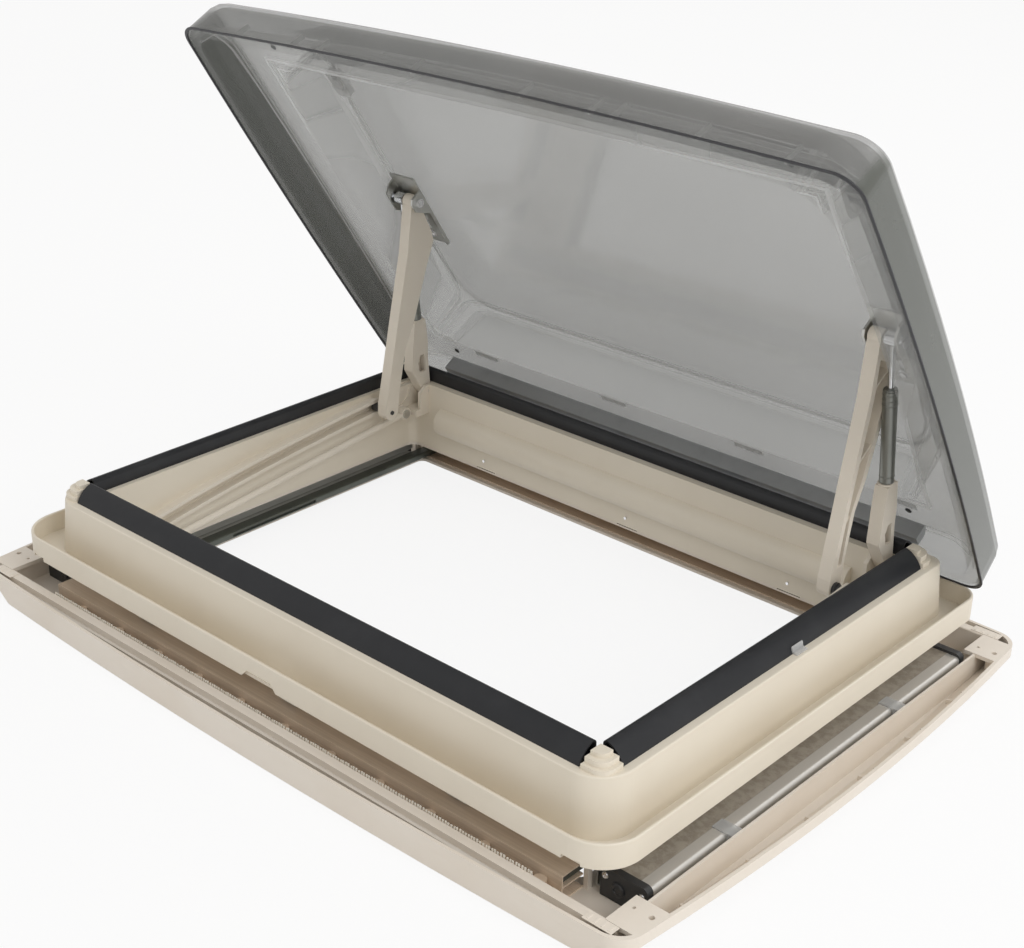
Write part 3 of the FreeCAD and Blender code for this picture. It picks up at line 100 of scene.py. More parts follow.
class Value:
    """A shader socket that takes part in Python arithmetic."""

    def __init__(self, sheet: "Sheet", socket: bpy.types.NodeSocket) -> None:
        """Wrap one output socket.

        Args:
            sheet: The node tree the socket is part of.
            socket: The output socket.
        """
        self.sheet = sheet
        self.socket = socket

    def _math(self, operation: str, first: Any, second: Any) -> "Value":
        """Add one Math node and return its result."""
        node = self.sheet.node("ShaderNodeMath", {"operation": operation}, {0: first, 1: second})
        return Value(self.sheet, node.outputs[0])

    def __add__(self, other: Any) -> "Value":
        """Sum."""
        return self._math("ADD", self, other)

    __radd__ = __add__

    def __sub__(self, other: Any) -> "Value":
        """Difference."""
        return self._math("SUBTRACT", self, other)

    def __rsub__(self, other: Any) -> "Value":
        """Difference with the number first."""
        return self._math("SUBTRACT", other, self)

    def __mul__(self, other: Any) -> "Value":
        """Product."""
        return self._math("MULTIPLY", self, other)

    __rmul__ = __mul__

    def __pow__(self, other: Any) -> "Value":
        """Power."""
        return self._math("POWER", self, other)

    def larger(self, other: Any) -> "Value":
        """The larger of two values."""
        return self._math("MAXIMUM", self, other)

    def smaller(self, other: Any) -> "Value":
        """The smaller of two values."""
        return self._math("MINIMUM", self, other)

    def size(self) -> "Value":
        """The value without its sign."""
        return self._math("ABSOLUTE", self, 0.0)

    def clamped(self) -> "Value":
        """The value held between 0 and 1."""
        node = self.sheet.node("ShaderNodeClamp", {}, {0: self})
        return Value(self.sheet, node.outputs[0])


class Sheet:
    """One material and its node tree."""

    def __init__(self, name: str) -> None:
        """Start an empty node material.

        Args:
            name: The material's name.
        """
        self.material = bpy.data.materials.new(name)
        self.material.use_nodes = True
        self.tree = self.material.node_tree
        self.tree.nodes.clear()

    def node(
        self,
        kind: str,
        settings: dict[str, Any] | None = None,
        sockets: dict[Any, Any] | None = None,
    ) -> bpy.types.Node:
        """Add a node, set it up, then fill or link its sockets.

        Args:
            kind: The node's type.
            settings: The node's own properties; "stops" holds a ramp's (place, colour) pairs.
            sockets: Values or Value links by socket name or number.

        Returns:
            The new node.
        """
        made = self.tree.nodes.new(kind)
        for key, setting in (settings or {}).items():
            if key == "stops":
                self._fill_ramp(made.color_ramp, setting)
            else:
                setattr(made, key, setting)
        for key, content in (sockets or {}).items():
            if isinstance(content, Value):
                self.tree.links.new(content.socket, made.inputs[key])
            else:
                made.inputs[key].default_value = content
        return made

    @staticmethod
    def _fill_ramp(ramp: bpy.types.ColorRamp, stops: Sequence[tuple[float, Colour]]) -> None:
        """Give a colour ramp exactly these stops."""
        while len(ramp.elements) < len(stops):
            ramp.elements.new(1.0)
        for element, (place, colour) in zip(ramp.elements, stops):
            element.position = place
            element.color = (*colour, 1.0)

    def place(self, scale: Point = (1.0, 1.0, 1.0), turn: Point = (0.0, 0.0, 0.0)) -> Value:
        """Object coordinates, scaled and turned."""
        source = self.node("ShaderNodeTexCoord")
        mapping = self.node(
            "ShaderNodeMapping",
            {},
            {"Vector": Value(self, source.outputs["Object"]), "Scale": scale, "Rotation": turn},
        )
        return Value(self, mapping.outputs[0])

    def dome_place(self) -> Value:
        """Object coordinates turned back to the closed dome's own lie."""
        source = self.node("ShaderNodeTexCoord")
        hinge = HINGE * MM
        shift = hinge - Matrix.Rotation(OPEN_ANGLE, 3, "X") @ hinge
        mapping = self.node(
            "ShaderNodeMapping",
            {},
            {
                "Vector": Value(self, source.outputs["Object"]),
                "Location": shift,
                "Rotation": (OPEN_ANGLE, 0.0, 0.0),
            },
        )
        return Value(self, mapping.outputs[0])

    def glancing(self) -> Value:
        """The share of light that clear plastic throws back, alike on both faces of its wall."""
        facing = self.node("ShaderNodeLayerWeight", {}, {"Blend": 0.5})
        return Value(self, facing.outputs["Facing"]) ** 5.0 * 0.96 + 0.04

    def along_cloth(self) -> Value:
        """The cloth's own lengths along and across its weave, in metres."""
        source = self.node("ShaderNodeUVMap", {"uv_map": WEAVE})
        return Value(self, source.outputs[0])

    def axes(self, where: Value) -> tuple[Value, Value, Value]:
        """The three coordinates of a vector."""
        split = self.node("ShaderNodeSeparateXYZ", {}, {"Vector": where})
        x, y, z = (Value(self, split.outputs[number]) for number in range(3))
        return x, y, z

    def band(self, along: Value, low: float, high: float, soft: float) -> Value:
        """1 between two limits of a value and 0 beyond them, with soft ends."""
        rise = self.between(along, low - soft, low + soft)
        return rise * (1.0 - self.between(along, high - soft, high + soft))

    def noise(
        self, where: Value, per_metre: float, detail: float = 3.0, rough: float = 0.55
    ) -> Value:
        """Cloudy noise with so many lumps in a metre."""
        made = self.node(
            "ShaderNodeTexNoise",
            {},
            {"Vector": where, "Scale": per_metre, "Detail": detail, "Roughness": rough},
        )
        return Value(self, made.outputs[0])

    def cells(self, where: Value, per_metre: float) -> Value:
        """Distance to the nearest of scattered points."""
        made = self.node("ShaderNodeTexVoronoi", {}, {"Vector": where, "Scale": per_metre})
        return Value(self, made.outputs["Distance"])

    def waves(self, where: Value, per_metre: float, direction: str) -> Value:
        """Parallel bands along one axis."""
        made = self.node(
            "ShaderNodeTexWave",
            {"bands_direction": direction},
            {"Vector": where, "Scale": per_metre, "Distortion": 0.0},
        )
        return Value(self, made.outputs["Fac"])

    def between(self, factor: Value, low: float, high: float) -> Value:
        """A smooth 0 to 1 step of a value between two limits."""
        made = self.node(
            "ShaderNodeMapRange",
            {"interpolation_type": "SMOOTHSTEP"},
            {"Value": factor, "From Min": low, "From Max": high},
        )
        return Value(self, made.outputs[0])

    def scratches(self) -> Value:
        """Fine hairlines that wiping leaves on clear plastic."""
        hairs = self.noise(self.place((1.0, 0.06, 0.06), (0.4, 0.2, 0.5)), 700.0, 2.0)
        return self.between(hairs, 0.66, 0.74)

    def tint(self, factor: Value, first: Any, second: Any) -> Value:
        """A mix of two colours."""
        made = self.node("ShaderNodeMix", {"data_type": "RGBA"})
        self.tree.links.new(factor.socket, made.inputs[0])
        for number, content in ((6, first), (7, second)):
            if isinstance(content, Value):
                self.tree.links.new(content.socket, made.inputs[number])
            else:
                made.inputs[number].default_value = (*content, 1.0)
        return Value(self, made.outputs[2])

    def relief(self, height: Value, depth_mm: float, strength: float = 1.0) -> Value:
        """A bump normal from a height field."""
        made = self.node(
            "ShaderNodeBump",
            {},
            {"Height": height, "Distance": depth_mm * MM, "Strength": strength},
        )
        return Value(self, made.outputs[0])

    def coat(self, sockets: dict[str, Any]) -> Value:
        """A Principled shader with these sockets."""
        made = self.node("ShaderNodeBsdfPrincipled", {}, sockets)
        return Value(self, made.outputs[0])

    def part_clear(self, body: Value, through: Colour, cover: Value) -> bpy.types.Material:
        """Let a tinted view through a shader and hand over the material.

        Args:
            body: The shader of the plastic itself.
            through: The colour that the view behind it takes on.
            cover: The share of the body, from 0 to 1.

        Returns:
            The material.
        """
        clear = self.node("ShaderNodeBsdfTransparent", {}, {"Color": (*through, 1.0)})
        mixed = self.node(
            "ShaderNodeMixShader", {}, {0: cover, 1: Value(self, clear.outputs[0]), 2: body}
        )
        return self.finish(Value(self, mixed.outputs[0]))

    def finish(self, surface: Value) -> bpy.types.Material:
        """Send a shader to the output and hand over the material."""
        self.node("ShaderNodeOutputMaterial", {}, {"Surface": surface})
        return self.material


# Finishes


@dataclass(frozen=True)
class MouldedPlastic:
    """Injection-moulded plastic with a fine spark grain, flow marks and scattered specks of dust.
    """

    name: str
    colour: Colour
    shade: Colour
    roughness: float = 0.46
    grain_mm: float = 0.03
    grain_per_metre: float = 1500.0

    def build(self) -> bpy.types.Material:
        """Build the material."""
        sheet = Sheet(self.name)
        where = sheet.place()
        flow = sheet.noise(where, 9.0, 4.0)
        grain = sheet.noise(where, self.grain_per_metre, 2.0)
        specks = 1.0 - sheet.between(sheet.cells(where, 240.0), 0.0, 0.13)
        rare = sheet.between(sheet.noise(where, 60.0, 1.0), 0.62, 0.7)
        base = sheet.tint(sheet.between(flow, 0.35, 0.72) * 0.55, self.colour, self.shade)
        dusty = sheet.tint((specks * rare * 0.35).clamped(), base, (0.30, 0.27, 0.22))
        rough = sheet.noise(where, 35.0, 3.0) * 0.16 + (self.roughness - 0.08)
        return sheet.finish(
            sheet.coat(
                {
                    "Base Color": dusty,
                    "Roughness": rough,
                    "Specular IOR Level": 0.42,
                    "Normal": sheet.relief(grain, self.grain_mm, 0.5),
                }
            )
        )


@dataclass(frozen=True)
class SealRubber:
    """Extruded rubber with faint drawing lines and a bloom of dust."""

    name: str
    colour: Colour
    bloom: Colour
    lay: Lay

    def build(self) -> bpy.types.Material:
        """Build the material."""
        sheet = Sheet(self.name)
        lines = sheet.noise(sheet.place(self.lay.value), 900.0, 2.0)
        cloud = sheet.noise(sheet.place(), 22.0, 4.0)
        lint = 1.0 - sheet.between(sheet.cells(sheet.place(), 420.0), 0.0, 0.10)
        base = sheet.tint(sheet.between(cloud, 0.42, 0.75) * 0.5, self.colour, self.bloom)
        return sheet.finish(
            sheet.coat(
                {
                    "Base Color": sheet.tint((lint * 0.2).clamped(), base, (0.22, 0.22, 0.21)),
                    "Roughness": cloud * 0.22 + 0.36,
                    "Specular IOR Level": 0.45,
                    "Normal": sheet.relief(lines, 0.05, 0.6),
                }
            )
        )


@dataclass(frozen=True)
class TintedAcrylic:
    """Clear moulded plastic: a pale veil with glossy faces, part seen through."""

    name: str
    veil: Colour
    shade: Colour
    through: Colour
    cover: float
    gloss: float
    mirror: float
    ripple_mm: float = 0.02

    def build(self) -> bpy.types.Material:
        """Build the material."""
        sheet = Sheet(self.name)
        where = sheet.place()
        cloud = sheet.noise(where, 4.5, 3.0)
        hair = sheet.scratches()
        swell = sheet.noise(where, 7.0, 2.0)
        body = sheet.coat(
            {
                "Base Color": sheet.tint(sheet.between(cloud, 0.3, 0.75), self.veil, self.shade),
                "Roughness": hair * 0.12 + self.gloss,
                "Specular IOR Level": 0.5,
                "Coat Weight": cloud * 0.2 + 0.25,
                "Coat Roughness": 0.04,
                "Normal": sheet.relief(swell, self.ripple_mm, 0.35),
            }
        )
        cover = (sheet.glancing() * self.mirror + cloud * 0.08 + self.cover + hair * 0.05).clamped()
        return sheet.part_clear(body, self.through, cover)


@dataclass(frozen=True)
class SmokedShell:
    """The dome's smoked outer skin: clearer over its crown and closed on its side skirts, which
    carry painted shade in their darker colour.
    """

    name: str
    veil: Colour
    shade: Colour
    # The side skirts' colour: painted shade, darker than the tint of the crown and front.
    side: Colour
    through: Colour
    cover: float
    side_cover: float
    gloss: float
    mirror: float
    lip_top: tuple[float, float] = (0.084, 0.094)
    side_edge: tuple[float, float] = (0.383, 0.392)
    front_edge: tuple[float, float] = (-0.268, -0.258)

    def build(self) -> bpy.types.Material:
        """Build the material."""
        sheet = Sheet(self.name)
        where = sheet.dome_place()
        across, along, height = sheet.axes(where)
        cloud = sheet.noise(where, 4.5, 3.0)
        swell = sheet.noise(where, 6.0, 2.0)
        hair = sheet.scratches()
        low = 1.0 - sheet.between(height, *self.lip_top)
        # The side skirts below the lip: painted shade in the darker side colour, and less
        # see-through.
        shaded_side_skirt = sheet.between(across.size(), *self.side_edge) * low
        front = (1.0 - sheet.between(along, *self.front_edge)) * low
        tinted = sheet.tint(sheet.between(cloud, 0.3, 0.75), self.veil, self.shade)
        body = sheet.coat(
            {
                "Base Color": sheet.tint(shaded_side_skirt, tinted, self.side),
                "Roughness": hair * 0.12 + self.gloss,
                "Specular IOR Level": 0.5,
                "Coat Weight": cloud * 0.2 + 0.25,
                "Coat Roughness": 0.04,
                "Normal": sheet.relief(swell, 0.05, 0.35),
            }
        )
        closed = shaded_side_skirt * (self.side_cover - self.cover) + front * 0.06 + hair * 0.03
        cover = (sheet.glancing() * self.mirror + cloud * 0.08 + closed + self.cover).clamped()
        return sheet.part_clear(body, self.through, cover)


@dataclass(frozen=True)
class ClearPane:
    """The dome's clear inner skin, with a hazy flat margin and painted highlights along the beads
    round its crown.
    """

    name: str
    veil: Colour
    # The colour of the painted highlights along the beads.
    bead_highlight: Colour
    through: Colour
    cover: float
    gloss: float
    mirror: float
    half_width: float = 0.399
    front: float = 0.279
    rear: float = 0.289
    margin: tuple[float, float] = (0.027, 0.0655)
    margin_soft: float = 0.0015
    beads: tuple[tuple[float, float], ...] = ((0.0655, 0.0690), (0.0775, 0.0800), (0.0255, 0.0275))
    bead_soft: float = 0.0006

    def build(self) -> bpy.types.Material:
        """Build the material."""
        sheet = Sheet(self.name)
        where = sheet.dome_place()
        across, along, _ = sheet.axes(where)
        inset = self.half_width - across.size()
        inset = inset.smaller(along + self.front).smaller(self.rear - along)
        margin = sheet.band(inset, *self.margin, self.margin_soft)
        # The beads get painted highlights: a lighter colour and less see-through.
        lines = sheet.band(inset, *self.beads[0], self.bead_soft)
        for low, high in self.beads[1:]:
            lines = lines.larger(sheet.band(inset, low, high, self.bead_soft))
        cloud = sheet.noise(where, 4.0, 3.0)
        streak = sheet.noise(sheet.place((0.5, 1.0, 0.25), (0.3, 0.5, 0.2)), 5.0, 2.0)
        swell = sheet.noise(where, 7.0, 2.0)
        bead_highlight_and_frost = (lines * 0.9 + margin * 0.3).clamped()
        body = sheet.coat(
            {
                "Base Color": sheet.tint(bead_highlight_and_frost, self.veil, self.bead_highlight),
                "Roughness": margin * 0.14 + cloud * 0.03 + self.gloss,
                "Specular IOR Level": 0.5,
                "Coat Weight": cloud * 0.2 + 0.3,
                "Coat Roughness": 0.03,
                "Normal": sheet.relief(swell, 0.06, 0.35),
            }
        )
        bead_highlight_and_haze = lines * 0.30 + margin * 0.05 + sheet.between(streak, 0.45, 0.7) * 0.07
        cover = (sheet.glancing() * self.mirror + bead_highlight_and_haze + self.cover).clamped()
        return sheet.part_clear(body, self.through, cover)


@dataclass(frozen=True)
class FilmedProfile:
    """A cassette's drawn metal, with a mottled film on its top between two bare rails."""

    name: str
    metal: Colour
    rail: Colour
    film: Colour
    mottle: Colour
    film_from: float = 0.3525
    film_to: float = 0.3845
    top: float = -0.0278
    soft: float = 0.0004
    rail_soft: float = 0.001

    def build(self) -> bpy.types.Material:
        """Build the material."""
        sheet = Sheet(self.name)
        where = sheet.place()
        across, _, height = sheet.axes(where)
        spread = across.size()
        on_top = sheet.between(height, self.top - self.soft, self.top)
        film = sheet.band(spread, self.film_from, self.film_to, self.soft) * on_top
        outer = sheet.between(spread, self.film_to, self.film_to + self.rail_soft)
        lines = sheet.noise(sheet.place(Lay.ALONG_Y.value), 1200.0, 3.0)
        spots = sheet.between(sheet.noise(where, 120.0, 5.0, 0.7), 0.38, 0.62)
        cloud = sheet.noise(where, 26.0, 3.0)
        bare = sheet.tint(outer, self.metal, self.rail)
        mottled = sheet.tint((spots * 0.7 + cloud * 0.3).clamped(), self.film, self.mottle)
        base = sheet.tint(film, bare, mottled)
        return sheet.finish(
            sheet.coat(
                {
                    "Base Color": base,
                    "Metallic": (1.0 - film) * 0.55,
                    "Roughness": cloud * 0.14 + film * 0.06 + 0.30,
                    "Coat Weight": film * 0.35,
                    "Normal": sheet.relief(lines, 0.02, 0.5),
                }
            )
        )


@dataclass(frozen=True)
class Metal:
    """Plated, brushed or drawn metal with a lay, stains and light handling marks."""

    name: str
    colour: Colour
    stain: Colour
    roughness: float
    lay: Lay
    lines_mm: float = 0.02
    metallic: float = 1.0

    def build(self) -> bpy.types.Material:
        """Build the material."""
        sheet = Sheet(self.name)
        lines = sheet.noise(sheet.place(self.lay.value), 1400.0, 3.0)
        cloud = sheet.noise(sheet.place(), 38.0, 4.0)
        base = sheet.tint(sheet.between(cloud, 0.45, 0.78) * 0.7, self.colour, self.stain)
        return sheet.finish(
            sheet.coat(
                {
                    "Base Color": base,
                    "Metallic": self.metallic,
                    "Roughness": (cloud * 0.18 + lines * 0.08 + (self.roughness - 0.1)).clamped(),
                    "Normal": sheet.relief(lines, self.lines_mm, 0.5),
                }
            )
        )


@dataclass(frozen=True)
class CloudyPlastic:
    """Thin unpainted plastic that light passes into, with drawn lines and a warm depth."""

    name: str
    colour: Colour
    depth: Colour
    lay: Lay
    roughness: float = 0.34

    def build(self) -> bpy.types.Material:
        """Build the material."""
        sheet = Sheet(self.name)
        lines = sheet.noise(sheet.place(self.lay.value), 500.0, 3.0)
        cloud = sheet.noise(sheet.place(), 14.0, 3.0)
        mixed = sheet.between((lines * 0.6 + cloud * 0.4).clamped(), 0.3, 0.7)
        return sheet.finish(
            sheet.coat(
                {
                    "Base Color": sheet.tint(mixed, self.colour, self.depth),
                    "Roughness": lines * 0.18 + (self.roughness - 0.06),
                    "Coat Weight": 0.15,
                    "Normal": sheet.relief(lines, 0.04, 0.6),
                }
            )
        )


@dataclass(frozen=True)
class WovenCloth:
    """Blind cloth: threads both ways, and open holes between them where it is a net."""

    name: str
    thread: Colour
    shadow: Colour
    threads_per_metre: float
    open_share: float = 0.0
    hole_soft: float = 0.08

    def build(self) -> bpy.types.Material:
        """Build the material."""
        sheet = Sheet(self.name)
        where = sheet.along_cloth()
        warp = sheet.waves(where, self.threads_per_metre, "X")
        weft = sheet.waves(where, self.threads_per_metre, "Y")
        height = warp.larger(weft)
        slub = sheet.noise(where, 260.0, 2.0)
        base = sheet.tint((height * 0.8 + slub * 0.2).clamped(), self.shadow, self.thread)
        sockets = {
            "Base Color": base,
            "Roughness": slub * 0.1 + 0.78,
            "Normal": sheet.relief(height, 0.12, 0.8),
        }
        if self.open_share > 0.0:
            low, high = self.open_share - self.hole_soft, self.open_share + self.hole_soft
            sockets["Alpha"] = sheet.between(height, low, high)
        return sheet.finish(sheet.coat(sockets))


class Finishes:
    """Every finish of the roof light, built once."""

    def __init__(self) -> None:
        """Build the materials."""
        self.cream = MouldedPlastic(
            "cream_plastic", (0.80, 0.735, 0.62), (0.745, 0.675, 0.56)
        ).build()
        self.ceiling = MouldedPlastic(
            "ceiling_plastic", (0.83, 0.765, 0.68), (0.78, 0.70, 0.60), roughness=0.42
        ).build()
        self.arm = MouldedPlastic(
            "arm_plastic", (0.80, 0.735, 0.635), (0.75, 0.68, 0.57), 0.5, 0.05, 1100.0
        ).build()
        rubber, bloom = (0.012, 0.013, 0.016), (0.028, 0.029, 0.032)
        self.rubber_x = SealRubber("seal_rubber_x", rubber, bloom, Lay.ALONG_X).build()
        self.rubber_y = SealRubber("seal_rubber_y", rubber, bloom, Lay.ALONG_Y).build()
        self.weld = SealRubber(
            "weld_strip", (0.03, 0.03, 0.035), (0.06, 0.06, 0.065), Lay.ALONG_X
        ).build()
        self.shell = SmokedShell(
            "smoked_shell",
            veil=(0.27, 0.275, 0.27),
            shade=(0.33, 0.33, 0.325),
            # side: painted shade on the dome's side skirts
            side=(0.12, 0.127, 0.112),
            through=(0.87, 0.87, 0.865),
            cover=0.22,
            side_cover=0.74,
            gloss=0.14,
            mirror=0.5,
        ).build()
        self.pane = ClearPane(
            "inner_pane",
            veil=(0.46, 0.47, 0.47),
            # bead: the colour of the painted highlights along the pane's beads
            bead_highlight=(0.78, 0.79, 0.79),
            through=(0.975, 0.975, 0.97),
            cover=0.04,
            gloss=0.05,
            mirror=1.0,
        ).build()
        self.zinc = Metal(
            "zinc_steel", (0.60, 0.60, 0.57), (0.42, 0.41, 0.38), 0.34, Lay.ALONG_Z
        ).build()
        self.chrome = Metal(
            "chrome_screw", (0.78, 0.78, 0.79), (0.60, 0.60, 0.61), 0.16, Lay.ALONG_Z, 0.005
        ).build()
        self.rod = Metal(
            "rod_chrome", (0.74, 0.75, 0.77), (0.66, 0.67, 0.69), 0.14, Lay.ALONG_X, 0.004
        ).build()
        self.tube = Metal(
            "dark_cylinder",
            (0.25, 0.255, 0.235),
            (0.17, 0.175, 0.165),
            0.34,
            Lay.ALONG_Z,
            0.01,
            metallic=0.75,
        ).build()
        self.aluminium = Metal(
            "aluminium_profile", (0.55, 0.57, 0.58), (0.46, 0.48, 0.49), 0.38, Lay.ALONG_Y
        ).build()
        self.cassette = FilmedProfile(
            "cassette_profile",
            metal=(0.60, 0.60, 0.57),
            rail=(0.74, 0.72, 0.68),
            film=(0.42, 0.38, 0.32),
            mottle=(0.27, 0.235, 0.19),
        ).build()
        self.hinge_bar = Metal(
            "hinge_profile", (0.52, 0.53, 0.54), (0.44, 0.45, 0.46), 0.4, Lay.ALONG_X
        ).build()
        self.bar = Metal(
            "green_grey_profile",
            (0.115, 0.125, 0.108),
            (0.08, 0.088, 0.078),
            0.40,
            Lay.ALONG_Y,
            metallic=0.5,
        ).build()
        self.tan = CloudyPlastic(
            "tan_track", (0.80, 0.66, 0.52), (0.66, 0.53, 0.40), Lay.ALONG_X
        ).build()
        self.strip = CloudyPlastic(
            "groove_strip", (0.76, 0.72, 0.66), (0.66, 0.61, 0.54), Lay.ALONG_X
        ).build()
        self.pile = CloudyPlastic(
            "pile_tuft", (0.86, 0.82, 0.74), (0.74, 0.69, 0.60), Lay.ALONG_Z, roughness=0.7
        ).build()
        self.clear = TintedAcrylic(
            "clear_clip",
            veil=(0.72, 0.73, 0.73),
            shade=(0.80, 0.80, 0.79),
            through=(0.93, 0.93, 0.93),
            cover=0.34,
            gloss=0.08,
            mirror=1.2,
        ).build()
        self.black = MouldedPlastic(
            "black_plastic", (0.035, 0.036, 0.038), (0.05, 0.05, 0.05), roughness=0.4
        ).build()
        self.grip = MouldedPlastic(
            "grip_plastic", (0.24, 0.245, 0.25), (0.20, 0.20, 0.205), 0.55, 0.06, 900.0
        ).build()
        self.net = WovenCloth(
            "net_cloth", (0.20, 0.21, 0.20), (0.10, 0.10, 0.10), 110.0, open_share=0.45
        ).build()
        self.blackout = WovenCloth(
            "blackout_fabric", (0.56, 0.55, 0.50), (0.42, 0.41, 0.37), 160.0
        ).build()


# Mesh work


class Blank:
    """A workpiece: one bmesh, in millimetres, that the operators shape."""

    def __init__(self) -> None:
        """Start with an empty mesh."""
        self.mesh = bmesh.new()

    def block(self, low: Point, high: Point) -> list[bmesh.types.BMVert]:
        """Add a box between two corners and return its vertices."""
        a, b = Vector(low), Vector(high)
        verts = bmesh.ops.create_cube(self.mesh, size=1.0)["verts"]
        bmesh.ops.scale(self.mesh, vec=b - a, verts=verts)
        bmesh.ops.translate(self.mesh, vec=(a + b) / 2, verts=verts)
        return verts

    def turned(
        self, profile: Sequence[tuple[float, float]], start: Point, toward: Point, steps: int = 48
    ) -> None:
        """Spin a (radius, height) profile about the line from one point toward another.

        Args:
            profile: The half section, from one end of the axis to the other.
            start: The point at height zero.
            toward: A point further up the axis.
            steps: The number of spin steps.
        """
        before = set(self.mesh.verts)
        line = [self.mesh.verts.new((r, 0.0, h)) for r, h in profile]
        edges = [self.mesh.edges.new(pair) for pair in zip(line[:-1], line[1:])]
        bmesh.ops.spin(
            self.mesh,
            geom=line + edges,
            axis=(0, 0, 1),
            cent=(0, 0, 0),
            angle=math.tau,
            steps=steps,
            use_merge=True,
        )
        made = [v for v in self.mesh.verts if v not in before]
        bmesh.ops.remove_doubles(self.mesh, verts=made, dist=1e-4)
        made = [v for v in self.mesh.verts if v not in before]
        axis = (Vector(toward) - Vector(start)).normalized()
        turn = Vector((0, 0, 1)).rotation_difference(axis).to_matrix()
        bmesh.ops.rotate(self.mesh, cent=(0, 0, 0), matrix=turn, verts=made)
        bmesh.ops.translate(self.mesh, vec=Vector(start), verts=made)

    def plate(self, outline: Sequence[Point], depth: Point) -> None:
        """Extrude a flat outline by a vector."""
        face = self.mesh.faces.new([self.mesh.verts.new(point) for point in outline])
        grown = bmesh.ops.extrude_face_region(self.mesh, geom=[face], use_keep_orig=True)["geom"]
        top = [g for g in grown if isinstance(g, bmesh.types.BMVert)]
        bmesh.ops.translate(self.mesh, vec=Vector(depth), verts=top)

    def ease(self, width: float, segments: int = 2, sharper: float = 0.5) -> None:
        """Bevel the edges that turn more than an angle.

        Args:
            width: The bevel's width.
            segments: Its steps.
            sharper: The least angle between the faces, in radians.
        """
        bmesh.ops.recalc_face_normals(self.mesh, faces=self.mesh.faces)
        edges = [
            edge
            for edge in self.mesh.edges
            if len(edge.link_faces) == 2 and edge.calc_face_angle(0.0) > sharper
        ]
        bmesh.ops.bevel(
            self.mesh,
            geom=edges,
            offset=width,
            affect="EDGES",
            segments=segments,
            profile=0.5,
            material=-1,
            clamp_overlap=True,
        )

    def cloth(self, line: Sequence[Point], width: float, thickness: float) -> float:
        """Draw a line along +Y into a cloth, lay its weave along it and give it its thickness.

        Args:
            line: The points of the cloth's edge, at its lowest Y.
            width: The cloth's width.
            thickness: Its thickness.

        Returns:
            The length of the cloth.
        """
        verts = [self.mesh.verts.new(point) for point in line]
        edges = [self.mesh.edges.new(pair) for pair in zip(verts[:-1], verts[1:])]
        run = [0.0]
        for first, second in zip(verts[:-1], verts[1:]):
            run.append(run[-1] + (second.co - first.co).length)
        lengths = {vert: length for vert, length in zip(verts, run)}
        grown = bmesh.ops.extrude_edge_only(self.mesh, edges=edges)["geom"]
        far = [g for g in grown if isinstance(g, bmesh.types.BMVert)]
        bmesh.ops.translate(self.mesh, vec=(0.0, width, 0.0), verts=far)
        for vert in far:
            beside = (edge.other_vert(vert) for edge in vert.link_edges)
            lengths[vert] = next(lengths[near] for near in beside if near in lengths)
        weave = self.mesh.loops.layers.uv.new(WEAVE)
        for face in self.mesh.faces:
            for loop in face.loops:
                loop[weave].uv = (lengths[loop.vert] * MM, loop.vert.co.y * MM)
        bmesh.ops.recalc_face_normals(self.mesh, faces=self.mesh.faces)
        bmesh.ops.solidify(self.mesh, geom=self.mesh.faces[:], thickness=thickness)
        return run[-1]

    def both_sides(self) -> "Blank":
        """Add the mirror image across the middle of the roof light."""
        whole = self.mesh.verts[:] + self.mesh.edges[:] + self.mesh.faces[:]
        copied = bmesh.ops.duplicate(self.mesh, geom=whole)["geom"]
        verts = [g for g in copied if isinstance(g, bmesh.types.BMVert)]
        faces = [g for g in copied if isinstance(g, bmesh.types.BMFace)]
        bmesh.ops.scale(self.mesh, vec=(-1, 1, 1), verts=verts)
        bmesh.ops.reverse_faces(self.mesh, faces=faces)
        return self

    def moved(self, matrix: Matrix) -> "Blank":
        """Put the whole workpiece through a matrix, in millimetres."""
        bmesh.ops.transform(self.mesh, matrix=matrix, verts=self.mesh.verts)
        return self

    def done(
        self,
        name: str,
        body: str | None,
        slot: str,
        material: bpy.types.Material,
        crease: float = 35.0,
    ) -> bpy.types.Object:
        """Turn the workpiece into an object that rides on a body.

        Args:
            name: The object's name.
            body: The CAD body it moves with, or None to leave it unattached.
            slot: The record's material slot; not used.
            material: Its material.
            crease: The angle above which an edge stays sharp, in degrees.

        Returns:
            The new object.
        """
        bmesh.ops.scale(self.mesh, vec=(MM, MM, MM), verts=self.mesh.verts)
        bmesh.ops.recalc_face_normals(self.mesh, faces=self.mesh.faces)
        data = bpy.data.meshes.new(name)
        self.mesh.to_mesh(data)
        self.mesh.free()
        for polygon in data.polygons:
            polygon.use_smooth = True
        data.set_sharp_from_angle(angle=math.radians(crease))
        made = bpy.data.objects.new(name, data)
        bpy.context.scene.collection.objects.link(made)
        made.data.materials.append(material)
        if body is not None:
            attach(made, body)
        LOG.info("%s moves with %s, %d faces", name, body or "two bodies", len(data.polygons))
        return made


@dataclass
class SubAssembly:
    """A group of pieces that share the finishes."""

    finishes: Finishes

    def dress(self) -> None:
        """Finish the group's CAD nodes."""

    def build(self) -> None:
        """Add the group's new pieces, if it has any."""

    def coat(self, nodes: Iterable[str], material: bpy.types.Material) -> None:
        """Give CAD nodes a material.

        Args:
            nodes: The nodes' names.
            material: The material for all of them.
        """
        for node in nodes:
            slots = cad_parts[node].data.materials
            slots.clear()
            slots.append(material)
            LOG.info("%s is finished in %s", node, material.name)


